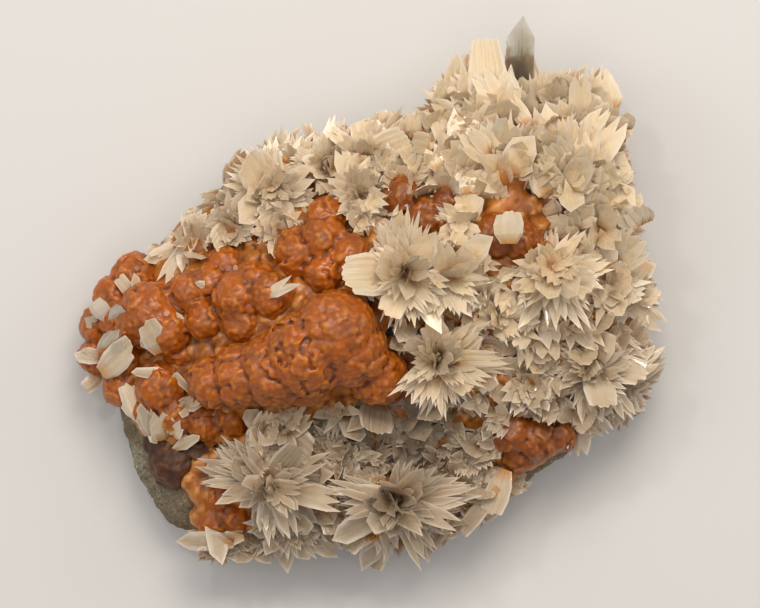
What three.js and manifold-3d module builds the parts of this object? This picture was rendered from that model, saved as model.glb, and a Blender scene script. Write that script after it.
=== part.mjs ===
// A mineral specimen: rosettes of bladed crystals and lumps of an orange mineral on a piece of host rock.
// Units are millimetres and +Z is up. The rock lies on its flat broken back and the crystals face up.
// The origin is the middle of the outline, on the surface that the rock rests on.

import * as THREE from "three";
import { ConvexGeometry } from "three/addons/geometries/ConvexGeometry.js";
import { mergeVertices } from "three/addons/utils/BufferGeometryUtils.js";
import Module from "manifold-3d";

const wasm = await Module();
wasm.setup();

// Driving dimensions
const HALF_LENGTH = 60; // the outline's reach along X
const HALF_WIDTH = 56; // the outline's reach along Y
const GAP = 0.3; // between neighbouring pieces

const ROCK_SEGMENTS = 30;
const ROCK_RIM_HEIGHT = 10;
const ROCK_DOME = 16; // how far the middle stands above the rim
const ROCK_ROUGHNESS = 0.9; // how far the rim's broken edge strays inward
const ROCK_RELIEF = 0.6; // the top's ups and downs, as a share of that

const BLADE_THICKNESS = 0.26; // of its width
const BLADE_SECTION = [[0, 1.4], [-1, -0.7], [1, -0.7]]; // ridged: across and up, in half widths
const PLATE_SECTION = [[1, 1], [-1, 1], [-1, -1], [1, -1]]; // flat, for a blunt blade
const BLADE_ROOT = 0.5; // width at the root, as a share of the full width
const BLADE_SHOULDER = 0.6; // where along its length a blade is widest
const CORE_DEPTH = 0.4; // of its radius, from the hub down to the middle of its core
const BLADE_TURN = 0.55; // most that a blade turns about its own length, in radians
const BLADE_UPRIGHT = 0.2; // a blade nearer upright than this has no side that faces up
const POINT_REACH = 3; // how many gaps a cutter's sharp point runs ahead of the blade's

// The rock's widest outline, seen from above, anticlockwise: x, y
const ROCK_RIM = [
  [55.5, -11], [54, 1], [50, 15], [47.5, 28], [43, 35.5], [33, 36.5], [21, 37], [11, 34.5],
  [2, 33], [-8, 32], [-18, 31.5], [-26.5, 27], [-34.5, 18], [-42, 10.5], [-49.5, 5.5], [-55, -2],
  [-56, -11], [-55, -19.2], [-48.8, -26.2], [-48.4, -35.4], [-44.4, -43.2], [-39.2, -48.8], [-28, -51],
  [-16, -50], [-4, -49], [8, -49], [19, -46.5], [29, -40.5], [36.5, -34.5], [45.5, -27], [52, -21],
];

// The rock's rings, from the foot up and over: share of the way to the rim, and height on the side
const ROCK_RINGS = [
  { share: 0.86, height: 0 },
  { share: 0.96, height: 0.45 * ROCK_RIM_HEIGHT },
  { share: 1, height: 0.9 * ROCK_RIM_HEIGHT },
  { share: 0.9 },
  { share: 0.68 },
  { share: 0.38 },
];

// Broad rises and hollows of the rock's top: x, y, radius, height
const ROCK_SWELLS = [
  [34, 14, 22, 9],
  [24, 30, 14, 4],
  [-14, -8, 15, 5],
  [-8, -27, 9, -6],
  [9, -27, 12, -7],
  [-46, 0, 13, -3],
  [-38, -41.5, 5, 2.5],
];

// Masses of round lumps: x, y, z, radius. Lumps wider than BIG_LUMP get more faces.
const BIG_LUMP = 5;
const LUMP_ROUGHNESS = 0.07; // of the radius
const LUMP_MASSES = {
  orange_main_lobe: [
    [-31.2, -17.3, 28, 5.2], [-25.5, -16, 30, 6.4], [-19, -14.4, 32, 7.4], [-12.5, -11.5, 34.5, 8.6],
    [-7, -7, 36, 8.2], [-3.4, -11, 34.5, 7], [1.2, -15.6, 30, 6],
    [-12.5, -16.5, 29.5, 5.4],
  ],
  orange_nodules_left: [
    [-44, -3.4, 20.5, 6.2], [-46.6, -5.6, 19.5, 4.6], [-33, -4.6, 24.6, 3.8],
    [-38, -11.2, 19, 3.6], [-31.6, 2.6, 22.4, 3.8], [-26, -0.6, 27, 5.4],
    [-22.6, 2.8, 27.4, 4.2], [-25, -5.4, 26.6, 4.6], [-40.6, -6.6, 21.6, 5.2],
    [-36, 0.4, 21.8, 4.4], [-19.6, 0, 30, 4.4], [-28.6, 6, 21, 3.8],
  ],
  orange_nodules_top: [
    [-14.2, 8.6, 28, 5], [-9, 11, 29.5, 4.8], [-4.6, 7.6, 30.5, 4.6],
    [-9, 4.6, 31, 4], [-9, 15.6, 28, 3.8],
  ],
  orange_edge_nodules: [
    [-47.6, 3.8, 12, 4.6], [-51.4, -0.4, 11.5, 4.5], [-54.6, -6, 10.5, 4], [-55.2, -12, 9.5, 3.6],
    [-50.6, -4.4, 15, 4.2], [-50, -12.6, 14, 4.4], [-49.6, -18.4, 12.8, 4.2],
  ],
  orange_nodules_low: [
    [-42, -18.4, 19, 5], [-44.4, -22.4, 15.5, 4.2], [-38.4, -24, 18.6, 4.4], [-33, -25, 19.4, 4.2],
    [-28, -24.4, 20, 4],
  ],
  brown_nodule: [
    [-39.2, -33.4, 14.5, 5.3], [-40.8, -29.2, 13, 4.5], [-35, -31, 15, 4.6],
  ],
  orange_nodules_foot: [
    [-31.4, -44.6, 14, 4], [-30.6, -40.4, 15.5, 3.4], [-27.6, -44.4, 15, 3.2],
  ],
  orange_nodules_right: [
    [28.6, -27.6, 18.8, 4.2], [33.4, -28.8, 17.6, 4.8], [37.4, -27.6, 16.8, 3.8], [30, -31.6, 16, 3.8],
  ],
  orange_nodules_behind: [
    [11.6, 15, 29.5, 4.8], [6.4, 19.4, 27.6, 4.4], [16, 19, 29, 4],
  ],
  orange_nodules_tablet: [
    [25, 12.4, 31.6, 4.6], [29.6, 11, 31.4, 4],
  ],
};

// Crystal growths. Each holds one or more hubs, and every blade runs from its hub to its tip.
// A hub is x, y, z and the radius of its core. A blade is tip x, y, z, width, and for a blunt
// blade the share of the width that its end keeps. Earlier growths cut into later ones.
const GROWTHS = {
  leaf_crystal: [
    { hub: [-42.4, -12, 23.5, 0], blades: [[-43.9, -5, 29, 4.8, 0.55]] },
  ],
  lens_crystal: [
    { hub: [-38.2, -15.9, 24, 0], blades: [[-47.8, -15.2, 26, 2.6]] },
  ],
  paired_crystal: [
    { hub: [-21, 0, 33.5, 0], blades: [[-13.8, 2.4, 40, 3], [-15, 3.8, 38, 2.2]] },
  ],
  chip_crystal: [
    { hub: [-36.8, 0.6, 25, 0], blades: [[-32.2, 1.8, 28.6, 2.6]] },
  ],
  low_plates: [
    { hub: [-38.8, -23.4, 21.5, 0], blades: [[-34.6, -21.8, 28, 3.4], [-35.2, -24.8, 26.6, 2.8]] },
  ],
  tablet_crystal: [
    { hub: [27.6, 8.4, 31, 0], blades: [[27.2, 16.8, 40.4, 6, 0.6]] },
  ],
  clear_crown_blade: [
    { hub: [29.2, 36, 16, 0], blades: [[30.3, HALF_WIDTH, 22, 6.2, 0.16]] },
  ],
  centre_rosette: [
    {
      hub: [7, 4.5, 33, 7],
      blades: [
        [2.4, 17.2, 40, 4.4], [6.4, 18, 39, 4], [11, 17.6, 42, 5.2],
        [13.6, 12.8, 44, 4.8], [-5.5, 3.8, 42, 6.8, 0.4], [0.7, 0.2, 44, 2.8],
        [17.3, 1, 43, 4.2], [14.3, -3.2, 42, 4.4], [2.6, -8.6, 37, 3.8], [14.6, -7.2, 39, 4.2],
        [9, -6, 41, 4.6], [11.6, 8, 48, 4.4], [5, 5.4, 49.5, 4.6], [3.4, 9.6, 46, 3.8],
      ],
    },
    {
      hub: [15.6, 4, 34, 5],
      blades: [
        [23.9, 11.8, 43, 4.6], [24.2, 3.6, 41, 2.8],
        [20.4, 8.6, 46, 3.6], [20.6, -1, 40, 3.6],
      ],
    },
  ],
  lower_centre_rosette: [
    {
      hub: [13.6, -12.6, 30, 7.5],
      blades: [
        [3, -21.2, 37, 3.2], [6.4, -13.6, 41, 3.8], [10, -8.6, 43, 4.2],
        [23.4, -6.4, 41, 4.6], [29, -13.9, 40, 3.8], [25.4, -17, 40, 3.6],
        [27.6, -12.2, 43.5, 3.4], [22.5, -20.6, 38, 4], [16.2, -25.2, 37, 4.2],
        [18.6, -19.4, 42, 3.8], [15.2, -13.6, 47, 4.4], [18.4, -9, 45, 4],
      ],
    },
  ],
  bottom_left_rosette: [
    {
      hub: [-20.5, -37.4, 20.5, 8],
      blades: [
        [-35.6, -35.5, 28, 4.6], [-35.2, -32.4, 25.4, 4], [-31.9, -27, 27, 5.2],
        [-23.1, -26.4, 29, 3.6], [-27, -30, 32, 3.2], [-14, -29.2, 31, 4.6, 0.4],
        [-6.8, -32.2, 28, 3.4], [-5, -41.8, 27, 5], [-31.6, -42.6, 29, 3.8], [-10.4, -36.4, 31, 3.8],
        [-21, -40.4, 35, 4.6], [-15.6, -44.4, 31, 4.4],
      ],
    },
    {
      hub: [-17.5, -45.6, 14.5, 8],
      blades: [
        [-17.1, -HALF_WIDTH, 12, 3.8], [-12.4, -53.2, 13, 3.4],
        [-24.4, -52.4, 14, 3.6], [-8.6, -51.8, 14, 3.4], [-11.4, -46, 24, 4.2],
        [-26, -46.6, 21, 3.8], [-15.6, -51, 20, 4.2],
      ],
    },
  ],
  foot_cluster: [
    {
      hub: [-30.8, -49.2, 11.5, 4],
      blades: [
        [-34.4, -54.8, 9, 3.6], [-27.9, -55, 9, 3.6], [-37, -47.2, 15, 3], [-30.2, -46.4, 18.4, 3.4],
        [-26.4, -49.6, 16.4, 3.2],
      ],
    },
  ],
  bottom_middle_rosette: [
    {
      hub: [4.5, -41, 18.5, 8],
      blades: [
        [-11.4, -35.8, 28, 3.8], [8.8, -31.2, 29, 5.6],
        [11, -33.6, 32, 3.6], [17.2, -33, 31, 3.8], [22.8, -38.4, 27, 5], [17.6, -45.6, 29, 3.8],
        [13.4, -55.3, 14, 6.4], [-1.5, -55.2, 12, 4.8], [3.4, -54.2, 11, 4],
        [-8, -43.8, 25, 3.8], [5.4, -42, 36, 4.8], [-0.6, -40.8, 33, 4.2],
        [10.6, -41, 34, 4.4], [2, -47, 30, 4.4], [12.4, -47.4, 27, 4.4],
      ],
    },
  ],
  upper_middle_crystals: [
    {
      hub: [-2, 19.8, 25.5, 5.6],
      blades: [
        [-10.2, 22.2, 32, 4.2], [4.8, 17.2, 36, 3.2], [-4.8, 26.4, 34, 3.4],
        [-0.6, 25.4, 36, 3.2], [-7.6, 15.6, 34, 3.4], [-4.6, 20, 38, 3.6],
      ],
    },
    {
      hub: [-0.6, 27.4, 21, 6],
      blades: [
        [7.4, 31, 30, 5.8, 0.4], [2.9, 36.6, 21, 5, 0.3], [9.8, 37.6, 17, 3.6],
        [4, 28, 34, 4.4], [-2, 31.6, 29, 4.2],
      ],
    },
    {
      hub: [6.4, 23.4, 25.5, 5.4],
      blades: [[10, 28.6, 33, 4.8], [12.6, 25, 33, 3.8], [8.6, 20, 37, 3.6]],
    },
  ],
  crown_crystals: [
    {
      hub: [19, 34.4, 19.5, 7.4],
      blades: [
        [11, 42.4, 19, 3.4], [13.6, 45, 20, 3.4], [17.2, 49, 21, 3.8],
        [19, 48, 24, 3.4],
      ],
    },
    {
      hub: [24.3, 32.4, 23, 6.6],
      blades: [[22.8, 51.5, 25, 7, 0.5], [26.4, 49.2, 23, 4.8], [28.8, 42.4, 30, 4.8], [18, 40, 28, 4.8]],
    },
    {
      hub: [34.4, 34.6, 19.5, 7.4],
      blades: [
        [34.1, 46.2, 24, 5], [38.6, 44.9, 16, 3.6], [38.8, 42.4, 25, 4.2],
      ],
    },
    {
      hub: [42, 31, 20.5, 7.6],
      blades: [
        [41.4, 44.4, 27, 4.4], [43.8, 47.6, 21, 3.4], [46, 47.8, 20, 3.6],
        [48, 46, 18, 3.4], [49.8, 42.4, 19, 3.6],
      ],
    },
    {
      hub: [45.6, 27, 20, 7.4],
      blades: [[50.8, 34.2, 15, 3.8], [52, 30.2, 16, 3.8], [53.1, 27, 17, 3.8]],
    },
    {
      hub: [27, 24, 31, 8.4],
      blades: [
        [26, 38.4, 34, 5.4], [20, 34, 33, 5], [31.6, 36.6, 35, 5], [21.4, 21.6, 38, 4.8],
        [27, 26, 42, 5], [33, 28.4, 40, 5], [13.6, 33.6, 26, 4.4],
      ],
    },
    {
      hub: [39.4, 22, 27, 8.4],
      blades: [
        [40, 37, 34, 5], [45.4, 35, 31, 4.8], [41.6, 28, 40, 5], [46.4, 24, 37, 4.8],
        [34.6, 21.4, 41, 5], [40.2, 16.6, 40, 4.8], [51.4, 25, 27, 4.4],
      ],
    },
    {
      hub: [45.4, 12.6, 23.6, 9],
      blades: [
        [54.2, 21, 16, 4], [54.8, 10.4, 18, 4], [53, 14.6, 26, 4.4],
        [48, 18, 35, 4.8], [49.6, 9.8, 34, 4.6], [43.6, 12, 38, 4.8],
      ],
    },
    {
      hub: [36, 5, 30, 8.4],
      blades: [
        [26.4, -6.9, 35, 5], [36.4, -9, 34, 4], [44.6, -7, 33, 4.2],
        [26.6, 1.6, 40, 4.4], [31.4, 5.6, 43, 5], [34, -1.4, 44, 5],
        [42, 0, 42, 4.8], [28.4, -2.4, 39, 4.4],
      ],
    },
    {
      hub: [47.4, 1.6, 21, 8.4],
      blades: [
        [57.5, 6.3, 16, 3.8], [58.2, 0.4, 14, 3.4], [57.4, -4.2, 14, 3.6],
        [52.4, 4, 27, 4.2], [50.4, -4.4, 27, 4.4],
      ],
    },
  ],
  right_slope_crystals: [
    {
      hub: [44, -14, 20, 8.6],
      blades: [
        [58.7, -7.4, 13, 3.8], [HALF_LENGTH, -9.6, 12, 3.6], [50.6, -9.6, 27, 4.2],
        [38, -12, 33, 4.6], [46, -16.4, 31, 4.4], [53, -15, 23, 4.2],
        [36, -17.6, 30, 4.2],
      ],
    },
    {
      hub: [48.4, -19.4, 15, 7.4],
      blades: [
        [58.3, -21.9, 11, 3.6], [50.8, -27.8, 10, 3.2], [56.4, -16.4, 15, 3.8],
        [50.4, -17.4, 22, 3.8], [47, -24, 19, 3.6],
      ],
    },
    {
      hub: [41.6, -23, 16.6, 7],
      blades: [[41.4, -32.4, 17, 5.2, 0.3], [44.4, -26, 24, 4.8, 0.45], [37, -23.6, 27, 4]],
    },
    {
      hub: [32, -17.4, 22, 8.6],
      blades: [[25.6, -20.4, 28, 3.6], [33, -15.4, 32, 4.2], [29, -25.4, 25.6, 3.4], [34.6, -23.8, 26, 3.6]],
    },
  ],
  inner_right_crystals: [
    {
      hub: [25.4, -4, 28, 5.4],
      blades: [[22.6, -1.6, 36, 3.8], [29, -10, 35, 4], [25.4, -4.6, 38, 4.2]],
    },
  ],
  upper_left_crystals: [
    {
      hub: [-19.7, 21.4, 21, 8],
      blades: [
        [-30, 22.4, 24, 5], [-26.3, 15, 29, 5.4], [-24, 30.2, 18, 4.4],
        [-16.6, 35.2, 15, 4.6], [-11, 35, 17, 4],
        [-14, 24.4, 32, 4.6], [-21.6, 17.4, 32, 4.2], [-14.6, 18, 32, 4.4],
      ],
    },
    {
      hub: [-8, 25.6, 20.6, 8.4],
      blades: [
        [-4, 36.5, 18, 6.6, 0.2], [-9.4, 35.2, 20, 4], [-10, 26, 31, 4.4], [-8, 30.4, 28, 4.6],
      ],
    },
    {
      hub: [-27.6, 13.6, 19, 8],
      blades: [[-31, 9.2, 24, 5.2, 0.5], [-24.6, 9.4, 26, 4.6], [-22, 13, 28, 4.2]],
    },
    {
      hub: [-18, 13, 24, 7],
      blades: [[-17.4, 6.8, 30.5, 4.8, 0.3], [-20.4, 15.4, 29, 4.2]],
    },
    {
      hub: [-35.6, 11, 16, 8.4],
      blades: [
        [-42.4, 2.6, 18, 3.6], [-41.6, 12.2, 14, 3.6], [-34.8, 18.4, 13, 3.8],
        [-36, 11, 20, 4], [-32, 13.4, 20, 4], [-45.8, 6.6, 14, 3.4],
      ],
    },
  ],
  left_fan_crystal: [
    {
      hub: [-52, -15.4, 14, 0],
      blades: [[-48, -8.8, 22, 4.4, 0.3], [-51.4, -7.6, 19.4, 4.2, 0.3], [-47, -12, 22, 3.8]],
    },
  ],
  left_tip_crystal: [
    { hub: [-54.4, -11.4, 12, 0], blades: [[-HALF_LENGTH, -12.4, 11, 3.6]] },
  ],
  left_block_crystal: [
    { hub: [-49, -3.2, 18, 0], blades: [[-56, -1.4, 18.4, 4, 0.5], [-55.4, -5.4, 16.6, 3.4, 0.4]] },
  ],
  left_spike_crystal: [
    { hub: [-45.6, -1, 17, 0], blades: [[-51.2, 4.4, 21, 3, 0.3]] },
  ],
  left_foot_crystal: [
    { hub: [-53, -16.6, 12, 0], blades: [[-57.8, -18.8, 12, 3.2, 0.5]] },
  ],
  left_low_plates: [
    {
      hub: [-48.6, -18.6, 15, 1.8],
      blades: [
        [-47.2, -26, 18, 4.6, 0.3], [-42.2, -24.6, 22.4, 3.8], [-44.4, -28.8, 17, 3.2],
      ],
    },
  ],
  hanging_crystals: [
    {
      hub: [-17, -22, 24, 4],
      blades: [[-21, -27, 26, 3.8], [-17, -25.4, 26.4, 3], [-13, -27, 25, 3.4]],
    },
  ],
  block_crystal: [
    { hub: [1.4, -21, 21, 3.6], blades: [[0.6, -27.8, 28.4, 6, 0.5], [-4.4, -27.6, 24.6, 3.4, 0.3]] },
  ],
  glassy_crystal: [
    { hub: [7.6, -23.4, 19, 4.6], blades: [[11.2, -29.8, 28.6, 5.6], [9, -27, 30, 3.4]] },
  ],
  hollow_crystals: [
    {
      hub: [-6, -31.4, 17, 6],
      blades: [[-8.4, -27.6, 23, 3.8], [-2.6, -30, 22.4, 3.6], [-13.6, -27, 22, 3.6], [2.6, -31, 21.4, 3.4]],
    },
  ],
  lower_right_crystals: [
    {
      hub: [21, -31, 16, 6.6],
      blades: [
        [17, -26.6, 22, 4.6], [24.4, -25.6, 25, 4.2], [13.4, -30.8, 20.4, 4.2], [25, -34.6, 22, 4.4],
        [27.2, -29.6, 22, 3.6],
      ],
    },
    {
      hub: [26, -38, 12, 5.8],
      blades: [
        [30.8, -40, 14, 3.8], [26.4, -43.8, 11.6, 4], [20.6, -47, 11, 4], [22.4, -41, 18, 4.2],
        [33, -36.8, 13, 3.6],
      ],
    },
  ],
};

// Finishes
const FINISHES = {
  rock: { color: 0x7b7a68, roughness: 0.95 },
  orange: { color: 0xc8661a, roughness: 0.45 },
  brown: { color: 0x8e451a, roughness: 0.45 },
  crystal: { color: 0xe6d4b8, roughness: 0.3 },
  clear: { color: 0xcfc9bd, roughness: 0.12 },
};
const CLEAR_PIECES = ["clear_crown_blade", "glassy_crystal", "left_block_crystal"];

// A number from 0 to 1 that looks random and depends only on its seed.
function scatter(seed) {
  const value = Math.sin(seed * 12.9898 + 4.1414) * 43758.5453;
  return value - Math.floor(value);
}

// A closed geometry as a solid that can be joined and cut.
function solidOf(geometry) {
  geometry.deleteAttribute("normal");
  geometry.deleteAttribute("uv");
  const merged = mergeVertices(geometry, 1e-4);
  return new wasm.Manifold(
    new wasm.Mesh({
      numProp: 3,
      vertProperties: merged.attributes.position.array,
      triVerts: new Uint32Array(merged.index.array),
    }),
  );
}

// A solid as a geometry, keeping only its largest body.
function geometryOf(solid) {
  const bodies = solid.decompose();
  const largest = bodies.reduce((a, b) => (b.volume() > a.volume() ? b : a));
  const mesh = largest.getMesh();
  const geometry = new THREE.BufferGeometry();
  geometry.setAttribute("position", new THREE.BufferAttribute(mesh.vertProperties, 3));
  geometry.setIndex(new THREE.BufferAttribute(mesh.triVerts, 1));
  return geometry;
}

function joined(solids) {
  return solids.reduce((all, solid) => all.add(solid));
}

// The rim's radius towards an angle, from the straight line between the two rim points beside it.
function rimRadius(angle) {
  const ray = new THREE.Vector2(Math.cos(angle), Math.sin(angle));
  for (let i = 0; i < ROCK_RIM.length; i++) {
    const start = new THREE.Vector2(...ROCK_RIM[i]);
    const end = new THREE.Vector2(...ROCK_RIM[(i + 1) % ROCK_RIM.length]);
    const edge = end.clone().sub(start);
    const facing = ray.cross(edge);
    if (facing <= 0) continue;
    const along = start.cross(ray) / facing;
    if (along >= 0 && along <= 1) return start.cross(edge) / facing;
  }
  throw new Error("the rock's rim has a hole at " + angle);
}

// The height of the rock's top at a share of the way from its middle to its rim.
function rockTop(x, y, share) {
  const dome = ROCK_RIM_HEIGHT + ROCK_DOME * Math.max(0, 1 - share * share);
  return ROCK_SWELLS.reduce((height, [sx, sy, radius, rise]) => {
    const distance = Math.hypot(x - sx, y - sy) / radius;
    return height + rise * Math.exp(-distance * distance);
  }, dome);
}

// The host rock, from its flat foot up over the rim to the middle of its top.
function makeRock(grow) {
  const points = [];
  ROCK_RINGS.forEach(({ share, height }, ring) => {
    for (let i = 0; i < ROCK_SEGMENTS; i++) {
      const angle = (i / ROCK_SEGMENTS) * 2 * Math.PI;
      const rough = (scatter(ring * 97 + i) - 0.5) * 2 * ROCK_ROUGHNESS;
      const radius = rimRadius(angle) * share - Math.abs(rough) + grow;
      const [x, y] = [radius * Math.cos(angle), radius * Math.sin(angle)];
      const relief = rough * ROCK_RELIEF;
      const side = height === 0 ? -grow : height + relief;
      points.push(x, y, height === undefined ? rockTop(x, y, share) + relief + grow : side);
    }
  });
  const top = points.length / 3;
  points.push(0, 0, rockTop(0, 0, 0) + grow, 0, 0, -grow);
  const faces = [];
  for (let i = 0; i < ROCK_SEGMENTS; i++) {
    const next = (i + 1) % ROCK_SEGMENTS;
    for (let ring = 0; ring + 1 < ROCK_RINGS.length; ring++) {
      const low = ring * ROCK_SEGMENTS;
      const high = low + ROCK_SEGMENTS;
      faces.push(low + i, low + next, high + next, low + i, high + next, high + i);
    }
    const last = (ROCK_RINGS.length - 1) * ROCK_SEGMENTS;
    faces.push(last + i, last + next, top);
    faces.push(next, i, top + 1);
  }
  const geometry = new THREE.BufferGeometry();
  geometry.setAttribute("position", new THREE.Float32BufferAttribute(points, 3));
  geometry.setIndex(faces);
  return solidOf(geometry);
}

// One round lump, a little out of true.
function makeLump([x, y, z, radius], seed, grow) {
  const geometry = new THREE.IcosahedronGeometry(1, radius > BIG_LUMP ? 1 : 0);
  const merged = mergeVertices(geometry.deleteAttribute("normal").deleteAttribute("uv"), 1e-4);
  const position = merged.attributes.position;
  for (let i = 0; i < position.count; i++) {
    const rough = 1 + (scatter(seed * 61 + i) - 0.5) * 2 * LUMP_ROUGHNESS;
    const reach = radius * rough + grow;
    position.setXYZ(i, position.getX(i) * reach, position.getY(i) * reach, position.getZ(i) * reach);
  }
  return solidOf(merged.translate(x, y, z));
}

// One flat blade from its root to its tip, as the hull of its root, shoulder and point.
function makeBlade(root, [x, y, z, width, blunt = 0], seed, grow) {
  const start = new THREE.Vector3(...root);
  const end = new THREE.Vector3(x, y, z);
  const along = end.clone().sub(start);
  const length = along.length();
  along.normalize();
  const facing = new THREE.Vector3(0, 0, 1).addScaledVector(along, -along.z);
  if (facing.length() < BLADE_UPRIGHT) facing.set(1, 0, 0).addScaledVector(along, -along.x);
  facing.normalize().applyAxisAngle(along, (scatter(seed) - 0.5) * 2 * BLADE_TURN);
  const side = new THREE.Vector3().crossVectors(along, facing);
  const halfWidth = width / 2 + grow;
  const halfThickness = (width * BLADE_THICKNESS) / 2 + grow;
  const corners = blunt ? PLATE_SECTION : BLADE_SECTION;
  const section = (distance, share) =>
    corners.map(([across, up]) =>
      start
        .clone()
        .addScaledVector(along, distance)
        .addScaledVector(side, across * halfWidth * share)
        .addScaledVector(facing, up * halfThickness * share),
    );
  const tip = length + (blunt ? grow : POINT_REACH * grow);
  const points = [
    ...section(-grow, BLADE_ROOT),
    ...section(length * BLADE_SHOULDER, 1),
    ...(blunt ? section(tip, blunt) : [start.clone().addScaledVector(along, tip)]),
  ];
  return solidOf(new ConvexGeometry(points));
}

// The core that a hub's blades grow from.
function makeCore([x, y, z, radius], grow) {
  const geometry = new THREE.IcosahedronGeometry(radius + grow, 0);
  return solidOf(geometry.translate(x, y, z - CORE_DEPTH * radius));
}

function makeGrowth(hubs, seed, grow) {
  const solids = hubs.flatMap(({ hub, blades }, h) => [
    ...(hub[3] ? [makeCore(hub, grow)] : []),
    ...blades.map((blade, i) => makeBlade(hub.slice(0, 3), blade, seed + h * 31 + i, grow)),
  ]);
  return joined(solids);
}

// True where two solids' boxes meet, so that far pieces aren't cut by each other.
function meets(a, b) {
  const [p, q] = [a.boundingBox(), b.boundingBox()];
  return [0, 1, 2].every((k) => p.min[k] < q.max[k] && q.min[k] < p.max[k]);
}

function cutBy(solid, cutters) {
  return cutters.filter((cutter) => meets(solid, cutter)).reduce((left, cutter) => left.subtract(cutter), solid);
}

function addPiece(specimen, name, solid, finish) {
  const material = new THREE.MeshStandardMaterial({ ...FINISHES[finish], metalness: 0, flatShading: true });
  const mesh = new THREE.Mesh(geometryOf(solid), material);
  mesh.name = name;
  specimen.add(mesh);
}

function makeSpecimen() {
  const specimen = new THREE.Group();
  addPiece(specimen, "host_rock", makeRock(0), "rock");
  const cutters = [makeRock(GAP)];
  Object.entries(LUMP_MASSES).forEach(([name, lumps], m) => {
    const mass = (grow) => joined(lumps.map((lump, i) => makeLump(lump, m * 17 + i, grow)));
    addPiece(specimen, name, cutBy(mass(0), cutters), name.startsWith("brown") ? "brown" : "orange");
    cutters.push(mass(GAP));
  });
  Object.entries(GROWTHS).forEach(([name, hubs], g) => {
    addPiece(
      specimen,
      name,
      cutBy(makeGrowth(hubs, g * 101, 0), cutters),
      CLEAR_PIECES.includes(name) ? "clear" : "crystal",
    );
    cutters.push(makeGrowth(hubs, g * 101, GAP));
  });
  return specimen;
}

export default makeSpecimen();
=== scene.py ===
# A colemanite specimen: rosettes of bladed crystals and lumps of an orange mineral on host rock.
# Tables and formulas are in millimetres, in the part's own frame. Meshes are made in metres.
import math

import bmesh
import bpy
import numpy as np
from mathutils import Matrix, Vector
from mathutils.bvhtree import BVHTree


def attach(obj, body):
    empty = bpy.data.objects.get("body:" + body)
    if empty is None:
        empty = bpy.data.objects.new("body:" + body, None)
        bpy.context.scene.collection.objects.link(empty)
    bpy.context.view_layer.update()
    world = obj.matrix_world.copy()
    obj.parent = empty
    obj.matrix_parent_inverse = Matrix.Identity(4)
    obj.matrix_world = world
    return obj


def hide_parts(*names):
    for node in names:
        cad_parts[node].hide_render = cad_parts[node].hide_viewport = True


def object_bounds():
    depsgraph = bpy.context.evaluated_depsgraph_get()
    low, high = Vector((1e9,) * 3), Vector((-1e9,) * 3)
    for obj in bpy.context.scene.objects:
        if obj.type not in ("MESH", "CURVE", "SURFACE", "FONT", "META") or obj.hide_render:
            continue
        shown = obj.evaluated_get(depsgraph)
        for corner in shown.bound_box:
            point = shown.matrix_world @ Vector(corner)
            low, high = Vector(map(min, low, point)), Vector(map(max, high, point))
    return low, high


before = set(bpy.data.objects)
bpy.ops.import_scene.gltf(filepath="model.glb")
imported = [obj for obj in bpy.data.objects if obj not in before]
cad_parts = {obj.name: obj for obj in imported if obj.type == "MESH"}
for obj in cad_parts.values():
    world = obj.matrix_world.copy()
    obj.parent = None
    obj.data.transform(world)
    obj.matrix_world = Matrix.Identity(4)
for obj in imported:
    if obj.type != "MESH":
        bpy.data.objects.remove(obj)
cad_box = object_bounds()

MM = 0.001
HALF_LENGTH = 60
HALF_WIDTH = 56

# The rock's outline and the rises of its top, as in the solids
ROCK_RIM = np.array([
    [55.5, -11], [54, 1], [50, 15], [47.5, 28], [43, 35.5], [33, 36.5], [21, 37], [11, 34.5],
    [2, 33], [-8, 32], [-18, 31.5], [-26.5, 27], [-34.5, 18], [-42, 10.5], [-49.5, 5.5], [-55, -2],
    [-56, -11], [-55, -19.2], [-48.8, -26.2], [-48.4, -35.4], [-44.4, -43.2], [-39.2, -48.8], [-28, -51],
    [-16, -50], [-4, -49], [8, -49], [19, -46.5], [29, -40.5], [36.5, -34.5], [45.5, -27], [52, -21],
])
# The specimen's outline as the blades reach it, without the tall clear blade
OUTLINE = np.array([
    [59.9, -12.1], [56.9, 7.3], [53.9, 21.1], [51, 32.1], [48.4, 45], [46.5, 46.9], [41.9, 46.5],
    [36.5, 44.3], [32.5, 45.2], [27, 51.8], [23.5, 51.1], [18, 47.3], [15, 45.1], [12, 42.1],
    [9, 37.9], [3, 37.3], [0, 33.3], [-3, 35.9], [-6, 35.1], [-18, 34.5], [-24, 29.9], [-27, 28.5],
    [-30, 22.5], [-36, 18.3], [-39, 14.5], [-42, 10.5], [-48.1, 7.9], [-51.1, 5.1], [-54.1, 0.9],
    [-57.1, -5.1], [-59.9, -12.1], [-57.1, -18.5], [-51, -23.5], [-48.1, -25.5], [-45, -36.3],
    [-42, -44.3], [-39, -48.7], [-36, -50.3], [-33, -54.3], [-18.1, -53.5], [-9, -52.1], [-3, -52.1],
    [0, -54.9], [6, -52.9], [12, -53.9], [15, -48.3], [18, -47.7], [24, -43.9], [30, -38.7], [36, -34.3],
    [42, -29.1], [48, -27.7], [51, -27.7], [54, -24.1], [57, -22.3],
])
ROCK_RIM_HEIGHT = 10
ROCK_DOME = 16
ROCK_SWELLS = [[34, 14, 22, 9], [24, 30, 14, 4], [-14, -8, 15, 5], [-8, -27, 9, -6], [9, -27, 12, -7],
               [-46, 0, 13, -3], [-38, -41.5, 5, 2.5]]

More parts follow.
